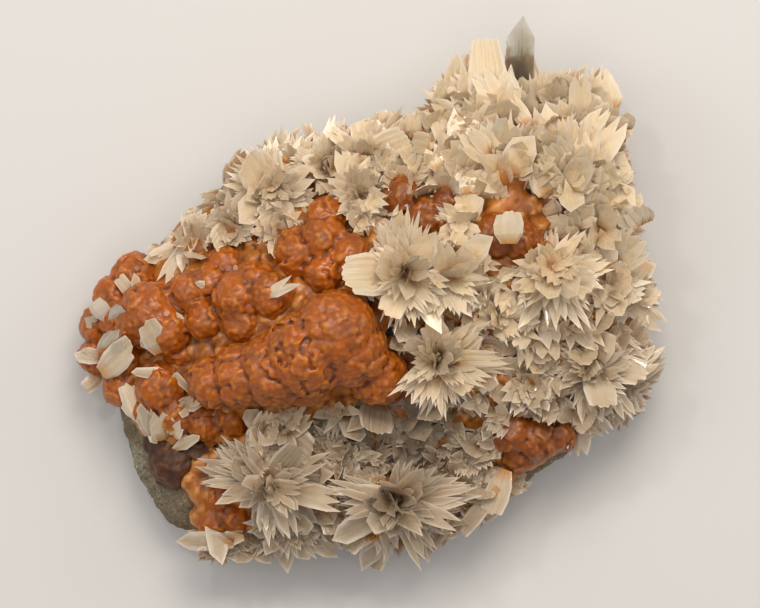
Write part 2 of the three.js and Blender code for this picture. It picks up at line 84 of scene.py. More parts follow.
# The orange and brown masses: the middle and radius of each of their round lumps
LUMP_MASSES = {
    "orange_main_lobe": [
        [-31.2, -17.3, 28, 5.2], [-25.5, -16, 30, 6.4], [-19, -14.4, 32, 7.4], [-12.5, -11.5, 34.5, 8.6],
        [-7, -7, 36, 8.2], [-3.4, -11, 34.5, 7], [1.2, -15.6, 30, 6],
        [-12.5, -16.5, 29.5, 5.4],
    ],
    "orange_nodules_left": [
        [-44, -3.4, 20.5, 6.2], [-46.6, -5.6, 19.5, 4.6], [-33, -4.6, 24.6, 3.8],
        [-38, -11.2, 19, 3.6], [-31.6, 2.6, 22.4, 3.8], [-26, -0.6, 27, 5.4],
        [-22.6, 2.8, 27.4, 4.2], [-25, -5.4, 26.6, 4.6], [-40.6, -6.6, 21.6, 5.2],
        [-36, 0.4, 21.8, 4.4], [-19.6, 0, 30, 4.4], [-28.6, 6, 21, 3.8],
    ],
    "orange_nodules_top": [
        [-14.2, 8.6, 28, 5], [-9, 11, 29.5, 4.8], [-4.6, 7.6, 30.5, 4.6],
        [-9, 4.6, 31, 4], [-9, 15.6, 28, 3.8],
    ],
    "orange_edge_nodules": [
        [-47.6, 3.8, 12, 4.6], [-51.4, -0.4, 11.5, 4.5], [-54.6, -6, 10.5, 4], [-55.2, -12, 9.5, 3.6],
        [-50.6, -4.4, 15, 4.2], [-50, -12.6, 14, 4.4], [-49.6, -18.4, 12.8, 4.2],
    ],
    "orange_nodules_low": [
        [-42, -18.4, 19, 5], [-44.4, -22.4, 15.5, 4.2], [-38.4, -24, 18.6, 4.4], [-33, -25, 19.4, 4.2],
        [-28, -24.4, 20, 4],
    ],
    "brown_nodule": [
        [-39.2, -33.4, 14.5, 5.3], [-40.8, -29.2, 13, 4.5], [-35, -31, 15, 4.6],
    ],
    "orange_nodules_foot": [
        [-31.4, -44.6, 14, 4], [-30.6, -40.4, 15.5, 3.4], [-27.6, -44.4, 15, 3.2],
    ],
    "orange_nodules_right": [
        [28.6, -27.6, 18.8, 4.2], [33.4, -28.8, 17.6, 4.8], [37.4, -27.6, 16.8, 3.8], [30, -31.6, 16, 3.8],
    ],
    "orange_nodules_behind": [
        [11.6, 15, 29.5, 4.8], [6.4, 19.4, 27.6, 4.4], [16, 19, 29, 4],
    ],
    "orange_nodules_tablet": [
        [25, 12.4, 31.6, 4.6], [29.6, 11, 31.4, 4],
    ],
}

# The white and clear growths. Each hub has its place and how far it spreads, then its main blades:
# their tips, widths and, for some, how blunt they are. LAID, further down, has the crystals of the empty ones.
GROWTHS = {
    "leaf_crystal": [],
    "lens_crystal": [],
    "paired_crystal": [
        ([-21, 0, 33.5, 0], [[-13.8, 2.4, 40, 3], [-15, 3.8, 38, 2.2]]),
    ],
    "chip_crystal": [],
    "low_plates": [],
    "tablet_crystal": [
        ([27.6, 8.4, 31, 0], [[27.2, 16.8, 40.4, 6, 0.6]]),
    ],
    "clear_crown_blade": [
        ([29.2, 36, 16, 0], [[30.3, HALF_WIDTH, 22, 6.2, 0.16]]),
    ],
    "centre_rosette": [
        ([7, 4.5, 33, 7], [
            [2.4, 17.2, 40, 4.4], [6.4, 18, 39, 4], [11, 17.6, 42, 5.2],
            [13.6, 12.8, 44, 4.8], [-5.5, 3.8, 42, 6.8, 0.4], [0.7, 0.2, 44, 2.8],
            [17.3, 1, 43, 4.2], [14.3, -3.2, 42, 4.4], [2.6, -8.6, 37, 3.8], [14.6, -7.2, 39, 4.2],
            [9, -6, 41, 4.6], [11.6, 8, 48, 4.4], [5, 5.4, 49.5, 4.6], [3.4, 9.6, 46, 3.8],
        ]),
        ([15.6, 4, 34, 5], [
            [23.9, 11.8, 43, 4.6], [24.2, 3.6, 41, 2.8],
            [20.4, 8.6, 46, 3.6], [20.6, -1, 40, 3.6],
        ]),
    ],
    "lower_centre_rosette": [
        ([13.6, -12.6, 30, 7.5], [
            [3, -21.2, 37, 3.2], [6.4, -13.6, 41, 3.8], [10, -8.6, 43, 4.2],
            [23.4, -6.4, 41, 4.6], [29, -13.9, 40, 3.8], [25.4, -17, 40, 3.6],
            [27.6, -12.2, 43.5, 3.4], [22.5, -20.6, 38, 4], [16.2, -25.2, 37, 4.2],
            [18.6, -19.4, 42, 3.8], [15.2, -13.6, 47, 4.4], [18.4, -9, 45, 4],
        ]),
    ],
    "bottom_left_rosette": [
        ([-20.5, -37.4, 20.5, 8], [
            [-35.6, -35.5, 28, 4.6], [-35.2, -32.4, 25.4, 4], [-31.9, -27, 27, 5.2],
            [-23.1, -26.4, 29, 3.6], [-27, -30, 32, 3.2], [-14, -29.2, 31, 4.6, 0.4],
            [-6.8, -32.2, 28, 3.4], [-5, -41.8, 27, 5], [-31.6, -42.6, 29, 3.8], [-10.4, -36.4, 31, 3.8],
            [-21, -40.4, 35, 4.6], [-15.6, -44.4, 31, 4.4],
        ]),
        ([-17.5, -45.6, 14.5, 8], [
            [-17.1, -HALF_WIDTH, 12, 3.8], [-12.4, -53.2, 13, 3.4],
            [-24.4, -52.4, 14, 3.6], [-8.6, -51.8, 14, 3.4], [-11.4, -46, 24, 4.2],
            [-26, -46.6, 21, 3.8], [-15.6, -51, 20, 4.2],
        ]),
    ],
    "foot_cluster": [
        ([-30.8, -49.2, 11.5, 4], [
            [-34.4, -54.8, 9, 3.6], [-27.9, -55, 9, 3.6], [-37, -47.2, 15, 3], [-30.2, -46.4, 18.4, 3.4],
            [-26.4, -49.6, 16.4, 3.2],
        ]),
    ],
    "bottom_middle_rosette": [
        ([4.5, -41, 18.5, 8], [
            [-11.4, -35.8, 28, 3.8], [8.8, -31.2, 29, 5.6],
            [11, -33.6, 32, 3.6], [17.2, -33, 31, 3.8], [22.8, -38.4, 27, 5], [17.6, -45.6, 29, 3.8],
            [13.4, -55.3, 14, 6.4], [-1.5, -55.2, 12, 4.8], [3.4, -54.2, 11, 4],
            [-8, -43.8, 25, 3.8], [5.4, -42, 36, 4.8], [-0.6, -40.8, 33, 4.2],
            [10.6, -41, 34, 4.4], [2, -47, 30, 4.4], [12.4, -47.4, 27, 4.4],
        ]),
    ],
    "upper_middle_crystals": [
        ([-2, 19.8, 25.5, 5.6], [
            [-10.2, 22.2, 32, 4.2], [4.8, 17.2, 36, 3.2], [-4.8, 26.4, 34, 3.4],
            [-0.6, 25.4, 36, 3.2], [-7.6, 15.6, 34, 3.4], [-4.6, 20, 38, 3.6],
        ]),
        ([-0.6, 27.4, 21, 6], [
            [7.4, 31, 30, 5.8, 0.4], [2.9, 36.6, 21, 5, 0.3], [9.8, 37.6, 17, 3.6],
            [4, 28, 34, 4.4], [-2, 31.6, 29, 4.2],
        ]),
        ([6.4, 23.4, 25.5, 5.4], [[10, 28.6, 33, 4.8], [12.6, 25, 33, 3.8], [8.6, 20, 37, 3.6]]),
    ],
    "crown_crystals": [
        ([19, 34.4, 19.5, 7.4], [
            [11, 42.4, 19, 3.4], [13.6, 45, 20, 3.4], [17.2, 49, 21, 3.8],
            [19, 48, 24, 3.4],
        ]),
        ([24.3, 32.4, 23, 6.6], [
            [22.8, 51.5, 25, 7, 0.5], [26.4, 49.2, 23, 4.8], [28.8, 42.4, 30, 4.8], [18, 40, 28, 4.8],
        ]),
        ([34.4, 34.6, 19.5, 7.4], [
            [34.1, 46.2, 24, 5], [38.6, 44.9, 16, 3.6], [38.8, 42.4, 25, 4.2],
        ]),
        ([42, 31, 20.5, 7.6], [
            [41.4, 44.4, 27, 4.4], [43.8, 47.6, 21, 3.4], [46, 47.8, 20, 3.6],
            [48, 46, 18, 3.4], [49.8, 42.4, 19, 3.6],
        ]),
        ([45.6, 27, 20, 7.4], [[50.8, 34.2, 15, 3.8], [52, 30.2, 16, 3.8], [53.1, 27, 17, 3.8]]),
        ([27, 24, 31, 8.4], [
            [26, 38.4, 34, 5.4], [20, 34, 33, 5], [31.6, 36.6, 35, 5], [21.4, 21.6, 38, 4.8],
            [27, 26, 42, 5], [33, 28.4, 40, 5], [13.6, 33.6, 26, 4.4],
        ]),
        ([39.4, 22, 27, 8.4], [
            [40, 37, 34, 5], [45.4, 35, 31, 4.8], [41.6, 28, 40, 5], [46.4, 24, 37, 4.8],
            [34.6, 21.4, 41, 5], [40.2, 16.6, 40, 4.8], [51.4, 25, 27, 4.4],
        ]),
        ([45.4, 12.6, 23.6, 9], [
            [54.2, 21, 16, 4], [54.8, 10.4, 18, 4], [53, 14.6, 26, 4.4],
            [48, 18, 35, 4.8], [49.6, 9.8, 34, 4.6], [43.6, 12, 38, 4.8],
        ]),
        ([36, 5, 30, 8.4], [
            [26.4, -6.9, 35, 5], [36.4, -9, 34, 4], [44.6, -7, 33, 4.2],
            [26.6, 1.6, 40, 4.4], [31.4, 5.6, 43, 5], [34, -1.4, 44, 5],
            [42, 0, 42, 4.8], [28.4, -2.4, 39, 4.4],
        ]),
        ([47.4, 1.6, 21, 8.4], [
            [57.5, 6.3, 16, 3.8], [58.2, 0.4, 14, 3.4], [57.4, -4.2, 14, 3.6],
            [52.4, 4, 27, 4.2], [50.4, -4.4, 27, 4.4],
        ]),
    ],
    "right_slope_crystals": [
        ([44, -14, 20, 8.6], [
            [58.7, -7.4, 13, 3.8], [HALF_LENGTH, -9.6, 12, 3.6], [50.6, -9.6, 27, 4.2],
            [38, -12, 33, 4.6], [46, -16.4, 31, 4.4], [53, -15, 23, 4.2],
            [36, -17.6, 30, 4.2],
        ]),
        ([48.4, -19.4, 15, 7.4], [
            [58.3, -21.9, 11, 3.6], [50.8, -27.8, 10, 3.2], [56.4, -16.4, 15, 3.8],
            [50.4, -17.4, 22, 3.8], [47, -24, 19, 3.6],
        ]),
        ([41.6, -23, 16.6, 7], [
            [41.4, -32.4, 17, 5.2, 0.3], [44.4, -26, 24, 4.8, 0.45], [37, -23.6, 27, 4],
        ]),
        ([32, -17.4, 22, 8.6], [
            [25.6, -20.4, 28, 3.6], [33, -15.4, 32, 4.2], [29, -25.4, 25.6, 3.4],
            [34.6, -23.8, 26, 3.6],
        ]),
    ],
    "inner_right_crystals": [
        ([25.4, -4, 28, 5.4], [[22.6, -1.6, 36, 3.8], [29, -10, 35, 4], [25.4, -4.6, 38, 4.2]]),
    ],
    "upper_left_crystals": [
        ([-19.7, 21.4, 21, 8], [
            [-30, 22.4, 24, 5], [-26.3, 15, 29, 5.4], [-24, 30.2, 18, 4.4],
            [-16.6, 35.2, 15, 4.6], [-11, 35, 17, 4],
            [-14, 24.4, 32, 4.6], [-21.6, 17.4, 32, 4.2], [-14.6, 18, 32, 4.4],
        ]),
        ([-8, 25.6, 20.6, 8.4], [
            [-4, 36.5, 18, 6.6, 0.2], [-9.4, 35.2, 20, 4], [-10, 26, 31, 4.4], [-8, 30.4, 28, 4.6],
        ]),
        ([-27.6, 13.6, 19, 8], [[-31, 9.2, 24, 5.2, 0.5], [-24.6, 9.4, 26, 4.6], [-22, 13, 28, 4.2]]),
        ([-18, 13, 24, 7], [[-17.4, 6.8, 30.5, 4.8, 0.3], [-20.4, 15.4, 29, 4.2]]),
        ([-35.6, 11, 16, 8.4], [
            [-42.4, 2.6, 18, 3.6], [-41.6, 12.2, 14, 3.6], [-34.8, 18.4, 13, 3.8],
            [-36, 11, 20, 4], [-32, 13.4, 20, 4], [-45.8, 6.6, 14, 3.4],
        ]),
    ],
    "left_fan_crystal": [],
    "left_tip_crystal": [],
    "left_block_crystal": [],
    "left_spike_crystal": [],
    "left_foot_crystal": [],
    "left_low_plates": [],
    "hanging_crystals": [
        ([-17, -22, 24, 4], [[-21, -27, 26, 3.8], [-17, -25.4, 26.4, 3], [-13, -27, 25, 3.4]]),
    ],
    "block_crystal": [
        ([1.4, -21, 21, 3.6], [[0.6, -27.8, 28.4, 6, 0.5], [-4.4, -27.6, 24.6, 3.4, 0.3]]),
    ],
    "glassy_crystal": [
        ([7.6, -23.4, 19, 4.6], [[11.2, -29.8, 28.6, 5.6], [9, -27, 30, 3.4]]),
    ],
    "hollow_crystals": [
        ([-6, -31.4, 17, 6], [
            [-8.4, -27.6, 23, 3.8], [-2.6, -30, 22.4, 3.6], [-13.6, -27, 22, 3.6],
            [2.6, -31, 21.4, 3.4],
        ]),
    ],
    "lower_right_crystals": [
        ([21, -31, 16, 6.6], [
            [17, -26.6, 22, 4.6], [24.4, -25.6, 25, 4.2], [13.4, -30.8, 20.4, 4.2], [25, -34.6, 22, 4.4],
            [27.2, -29.6, 22, 3.6],
        ]),
        ([26, -38, 12, 5.8], [
            [30.8, -40, 14, 3.8], [26.4, -43.8, 11.6, 4], [20.6, -47, 11, 4], [22.4, -41, 18, 4.2],
            [33, -36.8, 13, 3.6],
        ]),
    ],
}

CLEAR_PIECES = ["clear_crown_blade", "glassy_crystal", "left_block_crystal"]
TABLET_FOOT = [27.3, 10.2, 38.6]  # where the tablet crystal starts, above the orange mass under it

BLADE_TURN = 0.55  # how far blades turn about their own length, in radians
BLADE_THICKNESS = 0.12  # against the blade's width
LEAST_HALF_THICKNESS = 0.13
BROAD_BLADE = 3.4  # wider blades have one more bend in their outline
NARROW_BLADE = 3.1  # narrower main blades are single spears
BLUNT_FROM = 0.35  # main blades blunter than this end squarely
PATTERN_SHIFT = 11.0  # moves the fine lines from blade to blade, so that no two are alike
CROWN_LATHS = 1.8  # how much broader the laths of the crown's blades are
LONGEST_FILLER = 15.0
LOWEST_TIP = 3.0
HIGHEST_TIP = 48.4

# Hubs that spread at least this far carry finer blades too
TUFTED_SPREAD = 4
HUBS = [(name, hub) for name, growth in GROWTHS.items() for hub, _ in growth if hub[3] >= TUFTED_SPREAD]


def scatter(seed):
    """A number from 0 to 1 that looks random and depends only on its seed."""
    value = math.sin(seed * 12.9898 + 4.1414) * 43758.5453
    return value - math.floor(value)


def edge_radius(outline, x, y):
    """How far an outline is from the middle, towards a point."""
    ray = np.array([x, y]) / (math.hypot(x, y) or 1)
    start = outline
    edge = np.roll(outline, -1, axis=0) - start
    facing = ray[0] * edge[:, 1] - ray[1] * edge[:, 0]
    along = (start[:, 0] * ray[1] - start[:, 1] * ray[0]) / np.where(facing == 0, 1, facing)
    hit = (facing > 0) & (along >= 0) & (along <= 1)
    reach = (start[:, 0] * edge[:, 1] - start[:, 1] * edge[:, 0]) / np.where(facing == 0, 1, facing)
    return float(reach[hit].max()) if hit.any() else 50.0


def rim_radius(x, y):
    return edge_radius(ROCK_RIM, x, y)


def rock_top(x, y):
    """The height of the rock's top."""
    share = min(1.0, math.hypot(x, y) / rim_radius(x, y))
    height = ROCK_RIM_HEIGHT + ROCK_DOME * (1 - share * share)
    for sx, sy, radius, rise in ROCK_SWELLS:
        height += rise * math.exp(-((x - sx) ** 2 + (y - sy) ** 2) / radius**2)
    return height


def unit(v):
    return v / np.linalg.norm(v)


def clamp(value):
    return min(1, max(0, value))


def outward(x, y):
    """The direction that growths lean in at a place on the rock."""
    return unit(np.array([x / 60, y / 60, 0.8]))


def habit(name, x, y):
    """How a growth's finer blades stand: their axis, the cone they fill, their breadth and spread.

    The crown's blades are broad and all rise towards the top edge. The others radiate.
    """
    if name == "crown_crystals" and y > 9:
        sideways = (x - 32) / 40
        return unit(np.array([sideways, 1.15, 0.75])), 0.85, 1.35, 3.0
    return outward(x, y), 1.6, 1.0, 0.9


# Blades

def blade_frame(along, turn):
    """The side and face directions of a blade that points along a direction."""
    face = np.array([0, 0, 1.0]) - along * along[2]
    if np.linalg.norm(face) < 0.2:
        face = np.array([1.0, 0, 0]) - along * along[0]
    face = unit(face)
    side = np.cross(along, face)
    face = face * math.cos(turn) + side * math.sin(turn)
    return np.cross(along, face), face


def plate_faces(columns, rows):
    """The faces of a plate: a grid on each side, then one tooth at the end of each column."""
    lines = 2 * columns + 1
    size = rows * lines

    def top(k, j):
        return k * lines + j

    def below(k, j):
        return top(k, j) if k == 0 or j in (0, lines - 1) else size + (k - 1) * (lines - 2) + j - 1

    tip = size + (rows - 1) * (lines - 2)
    quads, threes = [], []
    for k in range(rows - 1):
        for j in range(lines - 1):
            quads.append([top(k, j), top(k, j + 1), top(k + 1, j + 1), top(k + 1, j)])
            quads.append([below(k, j), below(k + 1, j), below(k + 1, j + 1), below(k, j + 1)])
    last = rows - 1
    for i in range(columns):
        left, middle, right = 2 * i, 2 * i + 1, 2 * i + 2
        threes.append([top(last, left), top(last, middle), tip + i])
        threes.append([top(last, middle), top(last, right), tip + i])
        threes.append([below(last, middle), below(last, left), tip + i])
        threes.append([below(last, right), below(last, middle), tip + i])
        if left > 0:
            threes.append([top(last, left), tip + i, below(last, left)])
        if right < lines - 1:
            threes.append([below(last, right), tip + i, top(last, right)])
    return np.array(quads), np.array(threes)


PLATE_FACES = {}

# For each kind of blade: its half width at four places along it, how far its outer teeth fall back,
# how deep the notches are, and how squarely it ends
KINDS = {
    "leaf": ([0.28, 0.82, 1.0, 0.78], (0.3, 0.5), (0.02, 0.12), 1.5),
    "spear": ([0.45, 1.0, 0.8, 0.5], (0.3, 0.3), (0.3, 0.42), 1.5),
    "tablet": ([0.5, 0.9, 1.0, 0.86], (0.12, 0.25), (0.01, 0.03), 3.0),
    "shard": ([0.6, 0.95, 1.0, 0.92], (0.1, 0.1), (0.2, 0.3), 1.5),
    "lens": ([0.15, 0.9, 1.0, 0.6], (0.2, 0.2), (0.14, 0.2), 1.5),
    "pillar": ([0.8, 1.0, 0.86, 0.6], (0.02, 0.05), (0.02, 0.06), 1.5),
    "lath": ([0.6, 0.9, 1.0, 0.85], (0.2, 0.2), (0.2, 0.42), 1.5),
    "round": ([0.55, 0.95, 1.0, 0.8], (0.22, 0.22), (0.005, 0.01), 2.2),
}


class Plates:
    """Many thin crystal plates with toothed ends, kept as numbers until they become one mesh."""

    def __init__(self):
        self.points, self.info, self.quads, self.threes = [], [], [], []
        self.size = 0

    def add(self, points, info, columns, rows):
        if (columns, rows) not in PLATE_FACES:
            PLATE_FACES[columns, rows] = plate_faces(columns, rows)
        quads, threes = PLATE_FACES[columns, rows]
        self.points.append(points)
        self.info.append(info)
        self.quads.append(quads + self.size)
        self.threes.append(threes + self.size)
        self.size += len(points)


def blade_end(rng, u, kind):
    """How far a blade reaches at each of its teeth, and along each of its lines, as shares of its length."""
    _, droop_range, bite_range, power = KINDS[kind]
    columns = len(u) // 2
    lean = rng.uniform(-0.45, 0.45) if columns > 2 else 0
    droop = rng.uniform(*droop_range)
    bite = rng.uniform(*bite_range)
    crest = 1 - droop * np.abs(u - lean) ** power / (1 + abs(lean)) ** power
    tips = crest[1::2] * (1 - rng.uniform(0, 0.5, columns) * bite)
    tips = tips / tips.max()
    padded = np.concatenate([tips[:1], tips, tips[-1:]])
    ends = np.empty(len(u))
    ends[0::2] = np.minimum(padded[:-1], padded[1:]) * (1 - bite * rng.uniform(0.7, 1.3, columns + 1))
    between = (ends[0:-1:2] + ends[2::2]) / 2
    ends[1::2] = between + 0.25 * (tips - between)
    return tips, ends


def for_each_point(grid, at_tips):
    """A value for each point of a plate: its upper side, its lower side without the rim, then its tips."""
    return np.concatenate([grid.ravel(), grid[1:, 1:-1].ravel(), at_tips])


def add_blade(plates, rng, root, tip, width, kind, turn, columns, warmth_and_shade, thick=1.0):
    """One blade: a ridged plate that widens from its root and ends in a row of teeth."""
    root = np.array(root, float)
    tip = np.array(tip, float)
    reach = np.linalg.norm(tip - root)
    along = (tip - root) / reach
    side, face = blade_frame(along, turn)
    half = width / 2
    lines = 2 * columns + 1
    u = np.linspace(-1, 1, lines)
    u[1:-1] += rng.uniform(-0.32, 0.32, lines - 2) / columns
    tips, ends = blade_end(rng, u, kind)
    profile = KINDS[kind][0]
    if width <= BROAD_BLADE:
        profile = [profile[0], (profile[1] + profile[2]) / 2, profile[3]]
    rows = len(profile)
    steps = np.linspace(0, 1, rows)[:, None]
    body = max(LEAST_HALF_THICKNESS, half * BLADE_THICKNESS) * thick
    is_crest = np.arange(lines) % 2 == 1
    ridge = np.where(is_crest, rng.uniform(0.85, 1.2, lines), rng.uniform(0.65, 0.95, lines))
    bend = rng.uniform(-0.05, 0.09)
    cup = rng.uniform(-0.12, 0.2)
    tint = rng.uniform(0, 1)

    x = u[None] * (half * np.array(profile))[:, None]
    y = ends[None] * steps
    arch = bend * y**2 * reach + cup * u[None] ** 2 * half * steps
    lift = body * ridge[None] * np.sin(math.pi * np.minimum(1, steps * 0.62 + 0.3))
    lift[0] = 0
    lift[:, [0, -1]] = 0
    middle = root + side * x[..., None] + along * (y * reach)[..., None]
    upper = middle + face * (arch + lift)[..., None]
    lower = middle + face * (arch - lift)[..., None]
    tip_x = (u[1::2] * half * profile[-1])[:, None]
    tip_y = tips[:, None]
    tip_arch = bend * tip_y**2 * reach + cup * u[1::2, None] ** 2 * half
    tip_points = root + side * tip_x + along * tip_y * reach + face * tip_arch
    points = np.concatenate([upper.reshape(-1, 3), lower[1:, 1:-1].reshape(-1, 3), tip_points])

    # How near a point lies to the blade's edge, for the painted highlight on the edges
    rim = np.broadcast_to(np.abs(u) ** 2, x.shape)
    count = len(points)
    info = np.stack([
        for_each_point(y, tips), for_each_point(x, tip_x.ravel()) + PATTERN_SHIFT * tint,
        np.full(count, tint), np.full(count, warmth_and_shade), for_each_point(rim, np.ones(columns)),
    ], axis=1)
    plates.add(points, info, columns, rows)


def add_bundle(plates, rng, root, tip, width, turn, warmth_and_shade, coarse=1.0):
    """A blade grown from laths side by side, each with its own point."""
    root = np.array(root, float)
    tip = np.array(tip, float)
    reach = np.linalg.norm(tip - root)
    along = (tip - root) / reach
    side, face = blade_frame(along, turn)
    count = max(3, round(width / rng.uniform(0.8, 1.25) / coarse))
    lean = rng.uniform(-0.6, 0.6)
    for k in range(count):
        place = 2 * k / (count - 1) - 1
        angle = math.atan(width / 2 / reach) * 0.7 * place + rng.normal(0, 0.02)
        heading = unit(along * math.cos(angle) + side * math.sin(angle) + face * rng.normal(0, 0.02))
        length = reach * (1 - 0.16 * abs(place - lean) ** 1.5) * rng.uniform(0.76, 1.0)
        foot = root + side * place * width * 0.14 + face * rng.normal(0, 0.08)
        lath = width / count * rng.uniform(1.5, 2.4)
        lath_turn = turn + rng.normal(0, 0.08)
        lath_warmth_and_shade = clamp(warmth_and_shade + rng.normal(0, 0.05))
        add_blade(plates, rng, foot, foot + heading * length, lath, "lath", lath_turn, 1, lath_warmth_and_shade, 1.2)


def link(name, mesh, material):
    piece = bpy.data.objects.new(name, mesh)
    bpy.context.scene.collection.objects.link(piece)
    mesh.materials.append(material)
    return piece


def blade_mesh(name, plates, material, heights):
    """The plates as one mesh, which keeps each point's place on its blade and its depth, for the painted shade
    between the blades.
    """
    points = np.concatenate(plates.points)
    depth = depth_below(points, heights)
    points = np.clip(points * MM, cad_box[0], cad_box[1])
    info = np.concatenate(plates.info)
    faces = np.concatenate(plates.quads).tolist() + np.concatenate(plates.threes).tolist()
    mesh = bpy.data.meshes.new(name)
    mesh.from_pydata(points.tolist(), [], faces)
    mesh.attributes.new("blade", "FLOAT_VECTOR", "POINT").data.foreach_set("vector", info[:, :3].ravel())
    for label, values in (("warmth_and_shade", info[:, 3]), ("hollow", depth), ("rim", info[:, 4])):
        mesh.attributes.new(label, "FLOAT", "POINT").data.foreach_set("value", values)
    mesh.update()
    return link(name, mesh, material)


# Where the blades grow

ALL_LUMPS = [lump for lumps in LUMP_MASSES.values() for lump in lumps]
# Masses that lie deep between the blades, which partly cover them
DEEP_MASSES = ["orange_nodules_behind", "orange_nodules_tablet", "orange_nodules_right"]
SHOWN_LUMPS = [lump for name, lumps in LUMP_MASSES.items() for lump in lumps if name not in DEEP_MASSES]
# Round openings that the blades leave free over the deeper orange masses
SHOWN_LUMPS += [[27.4, 12.6, 37, 5.4], [12, 14.6, 32, 3], [32, -30, 18, 5.4]]


def over_lump(point, slack=0.0):
    """True where a point would hide or enter one of the orange lumps, seen from above."""
    return any(math.hypot(point[0] - x, point[1] - y) < radius * 0.92 + slack and point[2] > z - radius
               for x, y, z, radius in SHOWN_LUMPS)


def is_blocked(root, tip):
    """True where a blade would leave the specimen's outline or height, or hide an orange lump."""
    outside = math.hypot(tip[0], tip[1]) >= edge_radius(OUTLINE, tip[0], tip[1])
    hides = over_lump(tip) or over_lump((root + tip) / 2)
    return outside or hides or not LOWEST_TIP <= tip[2] <= HIGHEST_TIP


def cone_directions(axis, count, widest, rng):
    """Directions spread evenly over a cone around an axis."""
    side = unit(np.cross(axis, [0.3, 1, 0.2]))
    other = np.cross(axis, side)
    for i in range(count):
        height = 1 - (i + 0.5) / count * (1 - math.cos(widest))
        angle = i * 2.39996 + rng.uniform(-0.35, 0.35)
        flat = math.sqrt(max(0, 1 - height * height))
        yield unit(axis * height + side * flat * math.cos(angle) + other * flat * math.sin(angle)
                   + rng.normal(0, 0.09, 3))


def add_any_blade(plates, rng, root, tip, width, turn, warmth_and_shade, coarse=1.0):
    """One blade of a growth: a bundle of laths, a pointed plate, a tablet or a spear."""
    pick = rng.uniform()
    if width < 1.8 or pick < 0.14:
        add_blade(plates, rng, root, tip, width * 0.6, "spear", turn, 1, warmth_and_shade, 1.5)
    elif pick < 0.6 or coarse > 1 and pick < 0.8:
        add_bundle(plates, rng, root, tip, width, turn, warmth_and_shade, coarse)
    elif pick < 0.72:
        add_blade(plates, rng, root, tip, width, "tablet", turn, 4, warmth_and_shade)
    else:
        add_blade(plates, rng, root, tip, width * 0.8, "shard", turn, int(rng.integers(1, 4)), warmth_and_shade, 1.2)


def warmth_and_shade_at(point, rng):
    """How milky, warm and lit a blade is drawn: most towards the crown and higher up, greyer and darker along
    the lower edge. This is partly the blades' own tone and partly painted light and shade.
    """
    x, y, z = point[:3]
    crown = 1 / (1 + math.exp(-(x - 8 + 0.6 * (y - 10)) / 8))
    low_line = -25 + 22 / (1 + math.exp((32 - x) / 5))
    low = 1 / (1 + math.exp((y - low_line) / 4))
    # Painted light and shade: blades along the lower edge are drawn darker and greyer, and higher blades
    # lighter
    low_edge_shade = (0.5 + 0.2 * crown) * low
    return clamp(0.32 + 0.42 * crown - low_edge_shade + 0.012 * (z - 22) + rng.uniform(-0.13, 0.13))


def grow_fillers(plates, rng, name, hub, reach, count, width):
    """Finer blades around a hub, each shortened up to four times until nothing blocks it."""
    hub = np.array(hub, float)
    axis, widest, broad, spread = habit(name, hub[0], hub[1])
    laths = CROWN_LATHS if broad > 1 else 1.0
    for along in cone_directions(axis, count, widest, rng):
        root = hub + rng.normal(0, spread, 3) * [1, 1, 0.5]
        length = reach * rng.uniform(0.6, 1.0)
        tip = root + along * length
        tries = 0
        while tries < 4 and is_blocked(root, tip):
            length *= 0.8
            tip = root + along * length
            tries += 1
        if tries == 4 or length < reach * 0.34:
            continue
        share = width * broad * rng.uniform(0.6, 1.25) * min(1, length / reach + 0.2)
        turn = rng.uniform(-0.5, 0.5) * (0.6 if broad > 1 else 1)
        add_any_blade(plates, rng, root, tip, share, turn, warmth_and_shade_at(tip, rng), laths)


TUFT_SPACING = 5.2
TUFT_REACH = 7.5
EDGE_SPACING = 3.0
BARE_ROCK = [[-45, -36, 8.5], [-40, -42, 5], [-49, -25, 4]]


def on_bare_rock(x, y):
    return any(math.hypot(x - bare_x, y - bare_y) < radius for bare_x, bare_y, radius in BARE_ROCK)


def nearest_hub(x, y):
    """How far away the nearest hub is, its growth's name, and the hub itself."""
    found = ((math.hypot(x - hub[0], y - hub[1]), name, hub) for name, hub in HUBS)
    return min(found, key=lambda each: each[0])


def tuft_sites(rng):
    """Places on the rock's top for small tufts, under the name of the growth that each belongs to."""
    sites = {}
    for row in range(-11, 12):
        for column in range(-13, 14):
            x = (column + 0.5 * (row % 2)) * TUFT_SPACING + rng.uniform(-1.4, 1.4)
            y = row * TUFT_SPACING * 0.87 + rng.uniform(-1.4, 1.4)
            if math.hypot(x, y) > rim_radius(x, y) * 0.99 or on_bare_rock(x, y):
                continue
            if any(math.hypot(x - lx, y - ly) < r + 1.2 for lx, ly, _, r in SHOWN_LUMPS):
                continue
            distance, name, hub = nearest_hub(x, y)
            if distance < 4.5 or distance > 17:
                continue
            lift = 3.5 * math.exp(-(distance / 9) ** 2) * max(0, hub[2] - rock_top(x, y)) / 10
            sites.setdefault(name, []).append([x, y, rock_top(x, y) + 1.4 + lift])
    return sites


def edge_sites():
    """Places along the specimen's outline that blades reach, with the hub that each comes from."""
    sites = {}
    for start, end in zip(OUTLINE, np.roll(OUTLINE, -1, axis=0)):
        steps = max(1, round(np.linalg.norm(end - start) / EDGE_SPACING))
        for share in np.arange(steps) / steps:
            x, y = start + (end - start) * share
            by_the_orange = x < -36 and -48 < y < 16
            by_the_right_lump = 27 < x < 40 and y < -30
            if by_the_orange or by_the_right_lump:
                continue
            _, name, hub = nearest_hub(x, y)
            sites.setdefault(name, []).append([x, y, hub])
    return sites


def grow_edge(plates, rng, places):
    for x, y, hub in places:
        inward = unit(np.array([hub[0] - x, hub[1] - y, 0]))
        tip = np.array([x, y, rng.uniform(10, 19)])
        root = tip + inward * rng.uniform(9, 12) + np.array([0, 0, rng.uniform(-2, 3)])
        width = rng.uniform(3.6, 6)
        turn = rng.uniform(-0.5, 0.5)
        add_any_blade(plates, rng, root, tip, width, turn, warmth_and_shade_at(tip, rng))


